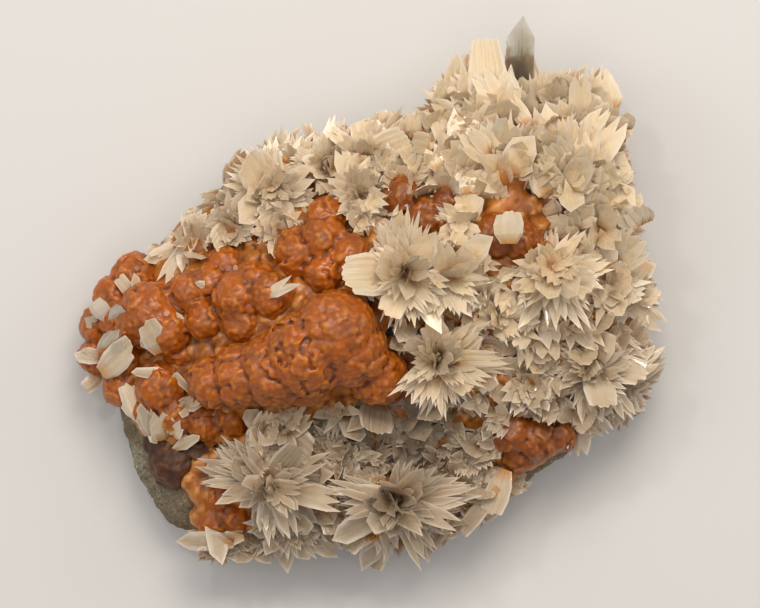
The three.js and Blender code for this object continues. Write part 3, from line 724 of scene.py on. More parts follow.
# Crystals that lie on the orange mineral at the left: their root and tip seen from above, width, kind,
# number of teeth, and how far the tip stands off the ground
LAID = {
    "left_block_crystal": [
        [-52.6, -4.6, -55.4, -1.2, 3.8, "round", 2, 1.6], [-52.2, -5, -49.4, -2, 3.2, "leaf", 1, 1.4],
        [-55, -8, -56.4, -4.2, 2.8, "round", 2, 0.8],
    ],
    "left_fan_crystal": [
        [-54, -11.6, -49, -6, 4.6, "bundle", 3, 2.2], [-54, -15.6, -47.4, -9.6, 5.8, "round", 4, 2.4],
        [-52, -14.8, -49.6, -8, 3, "shard", 1, 3],
    ],
    "left_tip_crystal": [
        [-54, -12.8, -59.7, -12, 2.8, "shard", 1, 0.6], [-54, -12, -58, -10.6, 1.8, "lath", 1, 0.9],
    ],
    "left_foot_crystal": [[-54.4, -16, -57.6, -18.8, 3.4, "round", 2, 0.6]],
    "left_spike_crystal": [
        [-46.6, -1.4, -50.6, 3.8, 2.9, "tablet", 2, 1.4], [-46.4, -0.4, -47.6, 4.6, 2.2, "shard", 1, 1.2],
    ],
    "leaf_crystal": [
        [-41.8, -11.4, -44.7, -5, 5, "round", 3, 1.8], [-42.4, -10.4, -46, -8.8, 2.6, "shard", 1, 1],
    ],
    "lens_crystal": [
        [-38.3, -15.9, -47.8, -15.2, 2.9, "lens", 1, 1.4],
        [-35.8, -19.4, -39.2, -15.6, 1.7, "tablet", 1, 1.2],
    ],
    "chip_crystal": [
        [-31.6, 1.6, -34.9, 2.6, 2, "lens", 1, 1], [-36, -7.9, -38.6, -3.2, 1.8, "lens", 1, 1.2],
        [-26.8, 3.6, -27, 6.2, 1.4, "lens", 1, 0.8],
    ],
    "low_plates": [
        [-35.8, -21.2, -39.4, -22.4, 2.6, "bundle", 3, 1.4],
        [-37.4, -21.8, -33.2, -21, 2.8, "bundle", 3, 1.8],
        [-36.4, -20.8, -37.6, -24.6, 2.2, "shard", 1, 1.2],
    ],
    "left_low_plates": [
        [-45.4, -25.4, -48.9, -17.4, 4.9, "round", 3, 1.2], [-43.8, -28, -45.4, -21.2, 4.6, "bundle", 3, 1.6],
        [-41.6, -29, -42.4, -22.6, 4.6, "shard", 2, 1.8], [-44.6, -25.6, -43, -29.8, 2, "shard", 1, 1.2],
        [-39.6, -28, -37.6, -24.4, 3.6, "bundle", 3, 1.4], [-39.9, -31, -34.2, -28, 2.8, "lens", 1, 1.4],
        [-47, -24.4, -49.6, -21, 2.6, "shard", 1, 0.8], [-39.2, -27.4, -36, -29.6, 2.2, "shard", 1, 1.6],
    ],
}


def ground(x, y):
    """The height of the rock or orange mineral at a place."""
    height = rock_top(x, y)
    for lx, ly, z, radius in ALL_LUMPS:
        apart = math.hypot(x - lx, y - ly)
        if apart < radius:
            height = max(height, z + math.sqrt(radius * radius - apart * apart))
    return height


def lay_crystals(plates, rng, placed):
    for x0, y0, x1, y1, width, kind, columns, rise in placed:
        middle = ground((x0 + x1) / 2, (y0 + y1) / 2)
        foot = max(min(ground(x0, y0), middle + 1) - 0.4, middle - 1.5)
        top = max(ground(x1, y1), middle, foot) + rise
        root, tip = [x0, y0, foot], [x1, y1, top]
        turn = rng.uniform(-0.25, 0.25)
        # These low crystals are drawn in the greyer, darker tones of the painted light and shade
        warmth_and_shade = rng.uniform(0, 0.3)
        if kind == "bundle":
            add_bundle(plates, rng, root, tip, width, turn, warmth_and_shade)
        else:
            add_blade(plates, rng, root, tip, width, kind, turn, columns, warmth_and_shade, 1.6)


def add_main_blade(plates, rng, name, foot, blade, turn):
    """A given main blade, in the shape that its growth, bluntness and width ask for."""
    tip, width = blade[:3], blade[3]
    blunt = blade[4] if len(blade) > 4 else 0
    warmth_and_shade = warmth_and_shade_at(tip, rng)
    in_crown = name == "crown_crystals"
    if in_crown:
        turn *= 0.4
    if name in CLEAR_PIECES:
        add_blade(plates, rng, foot, tip, width * 0.95, "shard", turn, 1, warmth_and_shade, 2.5)
    elif name == "tablet_crystal":
        add_blade(plates, rng, TABLET_FOOT, tip, width, "round", 0, 4, warmth_and_shade, 1.5)
    elif blunt > BLUNT_FROM and in_crown:
        add_blade(plates, rng, foot, tip, width * 1.3, "pillar", turn, 6, warmth_and_shade, 0.6)
    elif blunt > BLUNT_FROM:
        add_blade(plates, rng, foot, tip, width * 1.3, "tablet", turn, 6, warmth_and_shade, 0.8)
    elif rng.uniform() < 0.3 and width > NARROW_BLADE:
        add_blade(plates, rng, foot, tip, width * 1.1, "shard", turn, int(rng.integers(1, 4)), warmth_and_shade, 1.2)
    elif width < NARROW_BLADE:
        add_blade(plates, rng, foot, tip, width, "spear", turn, 1, warmth_and_shade, 1.5)
    else:
        add_bundle(plates, rng, foot, tip, width * 1.35, turn, warmth_and_shade)


def growth_plates(name, index, sites, edges):
    """All blades of one growth."""
    rng = np.random.default_rng(1000 + index)
    plates = Plates()
    if name in LAID:
        lay_crystals(plates, rng, LAID[name])
        return plates
    for h, (hub, blades) in enumerate(GROWTHS[name]):
        foot = hub[:3]
        for i, blade in enumerate(blades):
            turn = (scatter(index * 101 + h * 31 + i) - 0.5) * 2 * BLADE_TURN
            add_main_blade(plates, rng, name, foot, blade, turn)
        if hub[3] >= TUFTED_SPREAD and name not in CLEAR_PIECES:
            lengths = [np.linalg.norm(np.array(blade[:3]) - np.array(foot)) for blade in blades]
            reach = min(float(np.mean(lengths)), LONGEST_FILLER)
            grow_fillers(plates, rng, name, foot, reach * 0.9, int(11 + hub[3] * 2.2), 6.4)
    for site in sites.get(name, []):
        grow_fillers(plates, rng, name, site, TUFT_REACH * rng.uniform(0.9, 1.3), 9, 5.2)
    grow_edge(plates, rng, edges.get(name, []))
    return plates


# The grid, seen from above, on which the height that the blades reach is kept
GRID_STEP = 0.7
GRID_X = np.arange(-62, 62, GRID_STEP)
GRID_Y = np.arange(-58, 58, GRID_STEP)
SHADE_FROM = 1.0  # blades start to darken this far below the ones around them
SHADE_RANGE = 7.0
CREVICE_STEPS = 4
CREVICE_DEPTH = 3.2


def height_map(growths):
    """How high the blades reach over each spot of a grid, found by rays cast straight down."""
    points, faces, size = [], [], 0
    for plates in growths:
        points += plates.points
        for part in plates.quads + plates.threes:
            faces += (part + size).tolist()
        size += plates.size
    tree = BVHTree.FromPolygons(np.concatenate(points).tolist(), faces)
    heights = np.full((len(GRID_X), len(GRID_Y)), np.nan)
    for i, x in enumerate(GRID_X):
        for j, y in enumerate(GRID_Y):
            hit = tree.ray_cast(Vector((x, y, 80)), Vector((0, 0, -1)))
            if hit[0] is not None:
                heights[i, j] = hit[0][2]
    return heights


def mean_around(values, reach):
    """The mean of the known values within a few steps of each spot of a grid."""
    known = ~np.isnan(values)
    filled = np.where(known, values, 0)
    total, count = np.zeros_like(filled), np.zeros_like(filled)
    for di in range(-reach, reach + 1):
        for dj in range(-reach, reach + 1):
            total += np.roll(filled, (di, dj), axis=(0, 1))
            count += np.roll(known, (di, dj), axis=(0, 1))
    return total / np.maximum(1, count)


def depth_below(points, heights):
    """For each point, how deep it lies between the blades around it: 0 on top, 1 far down."""
    around = mean_around(heights, 5)
    i = np.clip(((points[:, 0] - GRID_X[0]) / GRID_STEP).round().astype(int), 0, len(GRID_X) - 1)
    j = np.clip(((points[:, 1] - GRID_Y[0]) / GRID_STEP).round().astype(int), 0, len(GRID_Y) - 1)
    return np.clip((around[i, j] - points[:, 2] - SHADE_FROM) / SHADE_RANGE, 0, 1)


def crevices(heights, rng):
    """Spots deep between the blades that still show from above."""
    spots = []
    wide = CREVICE_STEPS
    for i in range(wide, len(GRID_X) - wide):
        for j in range(wide, len(GRID_Y) - wide):
            around = heights[i - wide:i + wide + 1, j - wide:j + wide + 1]
            near = heights[i - 1:i + 2, j - 1:j + 2]
            here = heights[i, j]
            if np.isnan(around).any() or here > near.min() or here > around.mean() - CREVICE_DEPTH:
                continue
            if not over_lump([GRID_X[i], GRID_Y[j], 99], 1) and rng.uniform() < 0.5:
                spots.append([GRID_X[i], GRID_Y[j], here])
    return spots


def make_specks(heights, material):
    """Small grains of the orange mineral, deep between the blades."""
    rng = np.random.default_rng(31)
    parts = []
    for spot in crevices(heights, rng):
        for _ in range(int(rng.integers(4, 9))):
            size = rng.uniform(0.3, 0.75)
            place = np.array(spot) + [*rng.normal(0, 0.7, 2), size * 0.25]
            axis = unit(rng.normal(0, 1, 3))
            thickness = size * rng.uniform(0.4, 0.9)
            parts.append(ellipsoid(place, axis, size, thickness, rng, GRAIN))
    piece = link("orange_specks", joined_mesh("orange_specks", parts), material)
    for polygon in piece.data.polygons:
        polygon.use_smooth = True
    store_hollows(piece.data, 3)
    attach(piece, "root")


# Orange masses

def sphere_points(subdivisions):
    mesh = bpy.data.meshes.new("sphere")
    work = bmesh.new()
    bmesh.ops.create_icosphere(work, subdivisions=subdivisions, radius=1)
    work.to_mesh(mesh)
    work.free()
    points = np.array([v.co[:] for v in mesh.vertices])
    faces = np.array([p.vertices[:] for p in mesh.polygons])
    bpy.data.meshes.remove(mesh)
    return points, faces


BALL = sphere_points(4)
PEBBLE = sphere_points(3)
GRAIN = sphere_points(2)
SCALE_SIZE = 1.6
LUMP_VOXEL = 0.3
CRUST_VOXEL = 0.58
ROCK_VOXEL = 0.7
FOOT_HEIGHT = 1.2  # below this the rock stays flat and true


def joined_mesh(name, parts):
    """Closed shells given as points and faces, as one mesh in metres."""
    points, faces, start = [], [], 0
    for part_points, part_faces in parts:
        points.append(part_points)
        faces.append(part_faces + start)
        start += len(part_points)
    mesh = bpy.data.meshes.new(name)
    mesh.from_pydata((np.concatenate(points) * MM).tolist(), [], np.concatenate(faces).tolist())
    mesh.update()
    return mesh


def ellipsoid(centre, axis, radius, thickness, rng, ball=PEBBLE):
    """A flattened ball whose short axis points along axis."""
    side = unit(np.cross(axis, rng.normal(0, 1, 3)))
    other = np.cross(axis, side)
    turn = np.array([side * radius, other * radius * rng.uniform(0.8, 1.2), axis * thickness])
    points, faces = ball
    return points @ turn + centre, faces


def scaly_lumps(lumps, rng):
    """Round lumps covered with overlapping, thin, round scales, like shingles, and a few knobs."""
    parts = []
    for x, y, z, radius in lumps:
        centre = np.array([x, y, z], float)
        stretch = rng.uniform(0.94, 1.04, 3)
        parts.append((BALL[0] * radius * 0.98 * stretch + centre, BALL[1]))
        count = int(6 * (radius / SCALE_SIZE) ** 2) + 8
        for _ in range(count):
            out = unit(np.array([0, 0, 0.3]) + unit(rng.normal(0, 1, 3)))
            size = SCALE_SIZE * rng.uniform(0.4, 1.3)
            if rng.uniform() < 0.14:
                knob = centre + out * (radius - size * 0.4)
                parts.append(ellipsoid(knob, out, size * 0.8, size * 0.55, rng))
                continue
            lean = unit(out + rng.normal(0, 0.1, 3))
            parts.append(ellipsoid(centre + out * (radius - 0.1), lean, size, 0.08 * size + 0.18, rng))
    return parts


def apply_modifiers(piece):
    bpy.context.view_layer.update()
    graph = bpy.context.evaluated_depsgraph_get()
    mesh = bpy.data.meshes.new_from_object(piece.evaluated_get(graph), depsgraph=graph)
    old = piece.data
    piece.modifiers.clear()
    piece.data = mesh
    bpy.data.meshes.remove(old)


def clouds(name, size, depth=2):
    texture = bpy.data.textures.new(name, "CLOUDS")
    texture.noise_scale = size
    texture.noise_depth = depth
    return texture


def cells(name, size):
    texture = bpy.data.textures.new(name, "VORONOI")
    texture.noise_scale = size
    return texture


def add_displace(piece, texture, strength, level=0.5, group=""):
    modifier = piece.modifiers.new("relief", "DISPLACE")
    modifier.texture = texture
    modifier.texture_coords = "LOCAL"
    modifier.strength = strength
    modifier.mid_level = level
    modifier.vertex_group = group


def add_remesh(piece, voxel):
    modifier = piece.modifiers.new("one skin", "REMESH")
    modifier.mode = "VOXEL"
    modifier.voxel_size = voxel
    modifier.use_smooth_shade = True


def neighbour_mean(values, edges, count):
    total = np.zeros_like(values)
    np.add.at(total, edges[:, 0], values[edges[:, 1]])
    np.add.at(total, edges[:, 1], values[edges[:, 0]])
    return total / count[:, None]


def store_hollows(mesh, passes):
    """Keeps on each point how far it lies in a hollow (above a half) or on a rise (below a half)."""
    size = len(mesh.vertices)
    points = np.empty(size * 3)
    normals = np.empty(size * 3)
    mesh.vertices.foreach_get("co", points)
    mesh.vertices.foreach_get("normal", normals)
    points = points.reshape(-1, 3)
    normals = normals.reshape(-1, 3)
    edges = np.empty(len(mesh.edges) * 2, dtype=np.int64)
    mesh.edges.foreach_get("vertices", edges)
    edges = edges.reshape(-1, 2)
    count = np.maximum(1, np.bincount(edges.ravel(), minlength=size))
    smooth = points.copy()
    for _ in range(passes):
        smooth = neighbour_mean(smooth, edges, count)
    depth = ((smooth - points) * normals).sum(axis=1)
    depth = depth / (np.percentile(np.abs(depth), 96) + 1e-9)
    hollow = mesh.attributes.new("hollow", "FLOAT", "POINT")
    hollow.data.foreach_set("value", np.clip(0.5 + 0.5 * depth, 0, 1))


def make_lumps(name, lumps, seed, material, replaced):
    rng = np.random.default_rng(seed)
    piece = link(name, joined_mesh(name, scaly_lumps(lumps, rng)), material)
    add_remesh(piece, LUMP_VOXEL * MM)
    soften = piece.modifiers.new("worn edges", "SMOOTH")
    soften.factor = 0.5
    soften.iterations = 3
    add_displace(piece, cells("facets", 1.3 * MM), -0.35 * MM)
    add_displace(piece, clouds("knobs", 1.6 * MM), 0.25 * MM)
    add_displace(piece, clouds("fine grain", 0.5 * MM), 0.1 * MM)
    apply_modifiers(piece)
    store_hollows(piece.data, 12)
    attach(piece, "root")
    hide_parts(replaced)


# The rock and the crust on it

def make_rock(material):
    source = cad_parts["host_rock"]
    piece = link("host_rock_grains", source.data.copy(), material)
    piece.data.materials.clear()
    piece.data.materials.append(material)
    add_remesh(piece, ROCK_VOXEL * MM)
    apply_modifiers(piece)
    group = piece.vertex_groups.new(name="broken faces")
    for vertex in piece.data.vertices:
        height = vertex.co.z / MM
        group.add([vertex.index], clamp((height - FOOT_HEIGHT) / 2), "REPLACE")
    add_displace(piece, clouds("ledges", 7 * MM, 1), 2.0 * MM, 0.55, "broken faces")
    add_displace(piece, clouds("chips", 2.2 * MM), 0.9 * MM, 0.5, "broken faces")
    add_displace(piece, clouds("grains", 0.8 * MM), 0.45 * MM, 0.5, "broken faces")
    apply_modifiers(piece)
    store_hollows(piece.data, 10)
    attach(piece, "root")
    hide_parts("host_rock")


def crust_lumps(rng):
    """The crust's nodules: one under each hub, many over the rock, and rows under the orange masses."""
    lumps = [[hub[0], hub[1], hub[2] - 0.35 * hub[3], hub[3] * 0.62] for _, hub in HUBS]
    for _ in range(1150):
        x, y = rng.uniform(-56, 56), rng.uniform(-50, 38)
        if math.hypot(x, y) > rim_radius(x, y) * 0.93 or on_bare_rock(x, y):
            continue
        radius = rng.uniform(1.6, 3.2)
        lumps.append([x, y, rock_top(x, y) + 0.1 * radius, radius])
    for x in np.arange(-44, -4, 3):
        for y in np.arange(-20, 17, 3):
            if math.hypot(x, y) < rim_radius(x, y) * 0.9:
                lumps.append([x, y, rock_top(x, y) + 0.6, rng.uniform(2.3, 2.9)])
    return lumps


def make_crust(material):
    """Orange and amber nodules on the rock under the white crystals, seen in the gaps between them."""
    rng = np.random.default_rng(77)
    parts = []
    for x, y, z, radius in crust_lumps(rng):
        centre = np.array([x, y, z])
        parts.append((PEBBLE[0] * radius * rng.uniform(0.85, 1.1, 3) + centre, PEBBLE[1]))
        for along in cone_directions(np.array([0, 0, 1.0]), int(3 * radius), 1.5, rng):
            size = rng.uniform(0.5, 1.1)
            knob = centre + along * radius * 0.93
            lean = unit(along + rng.normal(0, 0.3, 3))
            parts.append(ellipsoid(knob, lean, size, size * 0.6, rng))
    piece = link("orange_crust", joined_mesh("orange_crust", parts), material)
    add_remesh(piece, CRUST_VOXEL * MM)
    add_displace(piece, clouds("crust grain", 0.7 * MM), 0.2 * MM)
    apply_modifiers(piece)
    store_hollows(piece.data, 4)
    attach(piece, "root")


# Materials

BLACK = (0, 0, 0)
WHITE = (1, 1, 1)
MILK_WHITE = (0.95, 0.82, 0.64)
# Greyer, darker milky colour: partly the blades' own tone, partly painted shade for blades low on the specimen
MILK_GREY_SHADED = (0.84, 0.67, 0.49)
MILK_WARM = (0.94, 0.76, 0.49)
# Painted highlight on the blades' edges
RIM_HIGHLIGHT = (0.97, 0.9, 0.8)
ROOT_ORANGE = (0.82, 0.42, 0.12)
# Painted shade for blades that lie deep between the others
RECESS_SHADE_BROWN = (0.55, 0.3, 0.13)
# The waxy minerals: bright and middle tones, then the painted shade for their hollows; the painted highlight
# on rises is made from the bright tone
ORANGE = ((0.5, 0.12, 0.002), (0.32, 0.088, 0.013), (0.12, 0.025, 0.003))
# A darker copy of the orange: painted shade for the masses deep between the blades
SHADED_ORANGE = ((0.36, 0.09, 0.004), (0.22, 0.055, 0.006), (0.09, 0.02, 0.003))
AMBER = ((0.58, 0.2, 0.02), (0.3, 0.09, 0.012), (0.10, 0.03, 0.006))
BROWN = ((0.11, 0.028, 0.001), (0.055, 0.013, 0.001), (0.02, 0.005, 0.001))


def new_material(name):
    material = bpy.data.materials.new(name)
    material.use_nodes = True
    return material, material.node_tree.nodes, material.node_tree.links


def node(tree, kind, **values):
    made = tree.nodes.new(kind)
    for key, value in values.items():
        if key in made.inputs:
            made.inputs[key].default_value = value
        else:
            setattr(made, key, value)
    return made


def feed(tree, value, socket):
    """Links a socket to another one, or sets it to a plain colour."""
    if isinstance(value, tuple):
        socket.default_value = (*value, 1)
    else:
        tree.links.new(value, socket)


def attribute(tree, name):
    return node(tree, "ShaderNodeAttribute", attribute_name=name).outputs["Fac"]


def ramp(tree, value, stops):
    """A value turned into colours, from (place, colour) stops."""
    made = tree.nodes.new("ShaderNodeValToRGB")
    while len(made.color_ramp.elements) < len(stops):
        made.color_ramp.elements.new(0.5)
    for element, (place, colour) in zip(made.color_ramp.elements, stops):
        element.position = place
        element.color = (*colour, 1)
    tree.links.new(value, made.inputs[0])
    return made.outputs[0]


def blend(tree, share, first, second):
    """From a first to a second colour, by a share that changes over the surface."""
    mix = node(tree, "ShaderNodeMix", data_type="RGBA")
    tree.links.new(share, mix.inputs[0])
    feed(tree, first, mix.inputs[6])
    feed(tree, second, mix.inputs[7])
    return mix.outputs[2]


def multiply(tree, colour, factor):
    mix = node(tree, "ShaderNodeMix", data_type="RGBA", blend_type="MULTIPLY")
    mix.inputs[0].default_value = 1
    tree.links.new(colour, mix.inputs[6])
    tree.links.new(factor, mix.inputs[7])
    return mix.outputs[2]


def stretch(tree, value, low, high):
    """A value from 0 to 1, taken to run from low to high."""
    made = node(tree, "ShaderNodeMapRange")
    made.inputs["To Min"].default_value = low
    made.inputs["To Max"].default_value = high
    tree.links.new(value, made.inputs["Value"])
    return made.outputs["Result"]


def maths(tree, operation, value, factor):
    made = node(tree, "ShaderNodeMath", operation=operation)
    tree.links.new(value, made.inputs[0])
    if isinstance(factor, float):
        made.inputs[1].default_value = factor
    else:
        tree.links.new(factor, made.inputs[1])
    return made.outputs[0]


def add_bump(tree, skin, height, strength, distance):
    bump = node(tree, "ShaderNodeBump", Strength=strength, Distance=distance)
    tree.links.new(height, bump.inputs["Height"])
    tree.links.new(bump.outputs[0], skin.inputs["Normal"])


def group_with(name, inputs, outputs):
    """An empty shader group with named inputs and outputs."""
    tree = bpy.data.node_groups.new(name, "ShaderNodeTree")
    for label, kind, value in inputs:
        socket = tree.interface.new_socket(label, in_out="INPUT", socket_type=kind)
        socket.default_value = value
    for label, kind in outputs:
        tree.interface.new_socket(label, in_out="OUTPUT", socket_type=kind)
    return tree, tree.nodes.new("NodeGroupInput"), tree.nodes.new("NodeGroupOutput")


def cloud_tint_group():
    """Two colours blended by soft clouds, and the clouds as a mask."""
    tree, given, out = group_with(
        "cloud tint",
        [("Colour A", "NodeSocketColor", (1, 1, 1, 1)), ("Colour B", "NodeSocketColor", (0, 0, 0, 1)),
         ("Scale", "NodeSocketFloat", 100.0), ("Contrast", "NodeSocketFloat", 2.0)],
        [("Colour", "NodeSocketColor"), ("Mask", "NodeSocketFloat")],
    )
    place = tree.nodes.new("ShaderNodeTexCoord")
    noise = node(tree, "ShaderNodeTexNoise", Detail=4.0, Roughness=0.6)
    tree.links.new(place.outputs["Object"], noise.inputs["Vector"])
    tree.links.new(given.outputs["Scale"], noise.inputs["Scale"])
    scaled = node(tree, "ShaderNodeMath", operation="MULTIPLY_ADD", use_clamp=True)
    scaled.inputs[2].default_value = 0.5
    tree.links.new(maths(tree, "SUBTRACT", noise.outputs["Fac"], 0.5), scaled.inputs[0])
    tree.links.new(given.outputs["Contrast"], scaled.inputs[1])
    colour = blend(tree, scaled.outputs[0], given.outputs["Colour A"], given.outputs["Colour B"])
    tree.links.new(colour, out.inputs["Colour"])
    tree.links.new(scaled.outputs[0], out.inputs["Mask"])
    return tree


def striation_group():
    """Fine lines that run along each blade, with the place along the blade and the blade's own tint."""
    tree, given, out = group_with(
        "striations",
        [("Lines per mm", "NodeSocketFloat", 3.0)],
        [("Height", "NodeSocketFloat"), ("Along", "NodeSocketFloat"), ("Tint", "NodeSocketFloat")],
    )
    blade = node(tree, "ShaderNodeAttribute", attribute_name="blade")
    parts = tree.nodes.new("ShaderNodeSeparateXYZ")
    tree.links.new(blade.outputs["Vector"], parts.inputs[0])
    place = tree.nodes.new("ShaderNodeCombineXYZ")
    across = maths(tree, "MULTIPLY", parts.outputs["Y"], given.outputs["Lines per mm"])
    tree.links.new(across, place.inputs[0])
    tree.links.new(maths(tree, "MULTIPLY", parts.outputs["X"], 1.6), place.inputs[1])
    tree.links.new(maths(tree, "MULTIPLY", parts.outputs["Z"], 37.0), place.inputs[2])
    noise = node(tree, "ShaderNodeTexNoise", Scale=1.0, Detail=3.0, Roughness=0.65)
    tree.links.new(place.outputs[0], noise.inputs["Vector"])
    tree.links.new(noise.outputs["Fac"], out.inputs["Height"])
    tree.links.new(parts.outputs["X"], out.inputs["Along"])
    tree.links.new(parts.outputs["Z"], out.inputs["Tint"])
    return tree


def use_group(tree, group, **values):
    made = tree.nodes.new("ShaderNodeGroup")
    made.node_tree = group
    for key, value in values.items():
        made.inputs[key.replace("_", " ")].default_value = value
    return made


def milky_crystal(name, groups):
    """Cloudy, striated, glossy blades: white to cream, orange at the root, with painted brown shade where they
    lie deep between the others, painted highlights on their edges and painted light and shade by place.
    """
    material, nodes, links = new_material(name)
    tree = material.node_tree
    skin = nodes["Principled BSDF"]
    lines = use_group(tree, groups["striations"], Lines_per_mm=4.2)
    # Partly the blades' own tone, partly painted light and shade by their place on the specimen
    warmth_and_shade = attribute(tree, "warmth_and_shade")
    clouded = use_group(tree, groups["cloud tint"], Scale=300.0, Contrast=3.0, Colour_A=(*MILK_WHITE, 1))
    links.new(blend(tree, warmth_and_shade, MILK_GREY_SHADED, MILK_WARM), clouded.inputs["Colour B"])

    near_root = ramp(tree, lines.outputs["Along"], [(0.05, WHITE), (0.3, BLACK)])
    colour = blend(tree, near_root, clouded.outputs["Colour"], ROOT_ORANGE)
    # Painted shade: blades that lie deep between the others turn brown
    recess_shade = ramp(tree, attribute(tree, "hollow"), [(0.05, BLACK), (0.75, (0.85, 0.85, 0.85))])
    colour = blend(tree, recess_shade, colour, RECESS_SHADE_BROWN)
    colour = multiply(tree, colour, stretch(tree, lines.outputs["Tint"], 0.86, 1.05))
    # Painted light and shade: blades low on the specimen are darkened, those towards the crown and higher up
    # keep their brightness
    shade_by_place = ramp(tree, warmth_and_shade, [(0.0, (0.66, 0.63, 0.6)), (0.35, (0.94, 0.93, 0.92)), (0.7, WHITE)])
    colour = multiply(tree, colour, shade_by_place)
    streaks = ramp(tree, lines.outputs["Height"],
                   [(0.34, (0.93, 0.91, 0.88)), (0.52, WHITE), (0.68, (1.04, 1.04, 1.04))])
    colour = multiply(tree, colour, streaks)
    # Painted highlight: the edges of each blade are drawn paler
    rim_highlight = ramp(tree, attribute(tree, "rim"), [(0.45, BLACK), (1.0, (0.6, 0.6, 0.6))])
    colour = blend(tree, rim_highlight, colour, RIM_HIGHLIGHT)

    links.new(colour, skin.inputs["Base Color"])
    links.new(stretch(tree, clouded.outputs["Mask"], 0.08, 0.28), skin.inputs["Roughness"])
    add_bump(tree, skin, lines.outputs["Height"], 0.8, 0.0002)
    skin.inputs["IOR"].default_value = 1.59
    skin.inputs["Coat Weight"].default_value = 0.6
    skin.inputs["Coat Roughness"].default_value = 0.06
    return material


def clear_crystal(name, colour, density, see_through, haze_colours, groups):
    """Clear, glassy crystal with a faint smoky tint and a little haze."""
    material, nodes, links = new_material(name)
    tree = material.node_tree
    skin = nodes["Principled BSDF"]
    lines = use_group(tree, groups["striations"], Lines_per_mm=2.2)
    haze = use_group(tree, groups["cloud tint"], Scale=220.0, Contrast=4.0,
                     Colour_A=(*haze_colours[0], 1), Colour_B=(*haze_colours[1], 1))
    links.new(haze.outputs["Colour"], skin.inputs["Base Color"])
    links.new(stretch(tree, haze.outputs["Mask"], 0.02, 0.14), skin.inputs["Roughness"])
    add_bump(tree, skin, lines.outputs["Height"], 0.5, 0.00015)
    skin.inputs["IOR"].default_value = 1.59
    skin.inputs["Transmission Weight"].default_value = see_through
    smoke = node(tree, "ShaderNodeVolumeAbsorption", Density=density)
    smoke.inputs["Color"].default_value = (*colour, 1)
    links.new(smoke.outputs[0], nodes["Material Output"].inputs["Volume"])
    return material


def waxy_mineral(name, colours, scatter_scale, groups, dullest=0.5):
    """The orange mineral: translucent and waxy, with a painted highlight on rises and painted deep brown shade
    in hollows.
    """
    bright, middle, dark = colours
    material, nodes, links = new_material(name)
    tree = material.node_tree
    skin = nodes["Principled BSDF"]
    patches = use_group(tree, groups["cloud tint"], Scale=210.0, Contrast=3.6,
                        Colour_A=(*bright, 1), Colour_B=(*middle, 1))
    hollow = attribute(tree, "hollow")
    # Painted shade: hollows of the surface turn to the dark colour
    hollow_shade = ramp(tree, hollow, [(0.58, BLACK), (1.0, WHITE)])
    colour = blend(tree, hollow_shade, patches.outputs["Colour"], dark)
    # Painted highlight: rises turn to a paler, brighter colour
    rise_highlight = ramp(tree, hollow, [(0.05, WHITE), (0.36, BLACK)])
    rise_highlight_colour = (min(1, bright[0] * 1.12), bright[1] * 1.5, bright[2] * 4)
    links.new(blend(tree, rise_highlight, colour, rise_highlight_colour), skin.inputs["Base Color"])
    links.new(stretch(tree, patches.outputs["Mask"], dullest - 0.22, dullest), skin.inputs["Roughness"])
    place = tree.nodes.new("ShaderNodeTexCoord")
    grain = node(tree, "ShaderNodeTexVoronoi", Scale=1100.0)
    links.new(place.outputs["Object"], grain.inputs["Vector"])
    add_bump(tree, skin, grain.outputs["Distance"], 0.5, 0.00012)
    skin.inputs["IOR"].default_value = 1.6
    skin.inputs["Subsurface Weight"].default_value = 0.6
    skin.inputs["Subsurface Radius"].default_value = (1.0, 0.36, 0.1)
    skin.inputs["Subsurface Scale"].default_value = scatter_scale
    return material


def grained_rock(name, groups):
    """Grey-green rock with pale and dark grains and brown stains."""
    material, nodes, links = new_material(name)
    tree = material.node_tree
    skin = nodes["Principled BSDF"]
    base = use_group(tree, groups["cloud tint"], Scale=90.0, Contrast=3.0,
                     Colour_A=(0.40, 0.37, 0.28, 1), Colour_B=(0.19, 0.165, 0.115, 1))
    place = tree.nodes.new("ShaderNodeTexCoord")
    grain = node(tree, "ShaderNodeTexVoronoi", Scale=2300.0)
    links.new(place.outputs["Object"], grain.inputs["Vector"])
    grain_shade = ramp(tree, grain.outputs["Color"],
                       [(0.0, (0.3, 0.3, 0.28)), (0.3, (0.75, 0.75, 0.73)), (0.7, WHITE),
                        (0.95, (1.5, 1.5, 1.4))])
    grained = multiply(tree, base.outputs["Colour"], grain_shade)
    stain = use_group(tree, groups["cloud tint"], Scale=45.0, Contrast=5.0)
    faint = maths(tree, "MULTIPLY", stain.outputs["Mask"], 0.45)
    links.new(blend(tree, faint, grained, (0.22, 0.11, 0.045)), skin.inputs["Base Color"])
    skin.inputs["Roughness"].default_value = 0.85
    add_bump(tree, skin, grain.outputs["Distance"], 0.6, 0.00025)
    return material


# Stage, lights and camera

VIEW_CENTRE = (1.9, -1.7)  # the spot under the middle of the frame
VIEW_WIDTH = 152.0  # what the frame takes in at the blades' height
VIEW_HEIGHT = 20.0
CAMERA_DISTANCE = 1380.0
SENSOR_WIDTH = 36
FLOOR_HALF = 3.0  # metres
# The soft lights: their places and sizes in metres, watts and colours
LIGHTS = {
    "key light": ((0.1, 0.42, 0.66), 0.42, 3.0, (1.0, 0.9, 0.76)),
    "side light": ((0.5, 0.25, 0.4), 0.3, 0.5, (1.0, 0.93, 0.82)),
    "fill light": ((-0.5, 0.1, 0.6), 0.5, 0.9, (1.0, 0.93, 0.84)),
    "front light": ((0.0, -0.15, 1.1), 0.8, 1.5, (1.0, 0.91, 0.78)),
    "small bright light": ((-0.2, 0.32, 0.6), 0.07, 0.4, (1.0, 0.95, 0.88)),
}


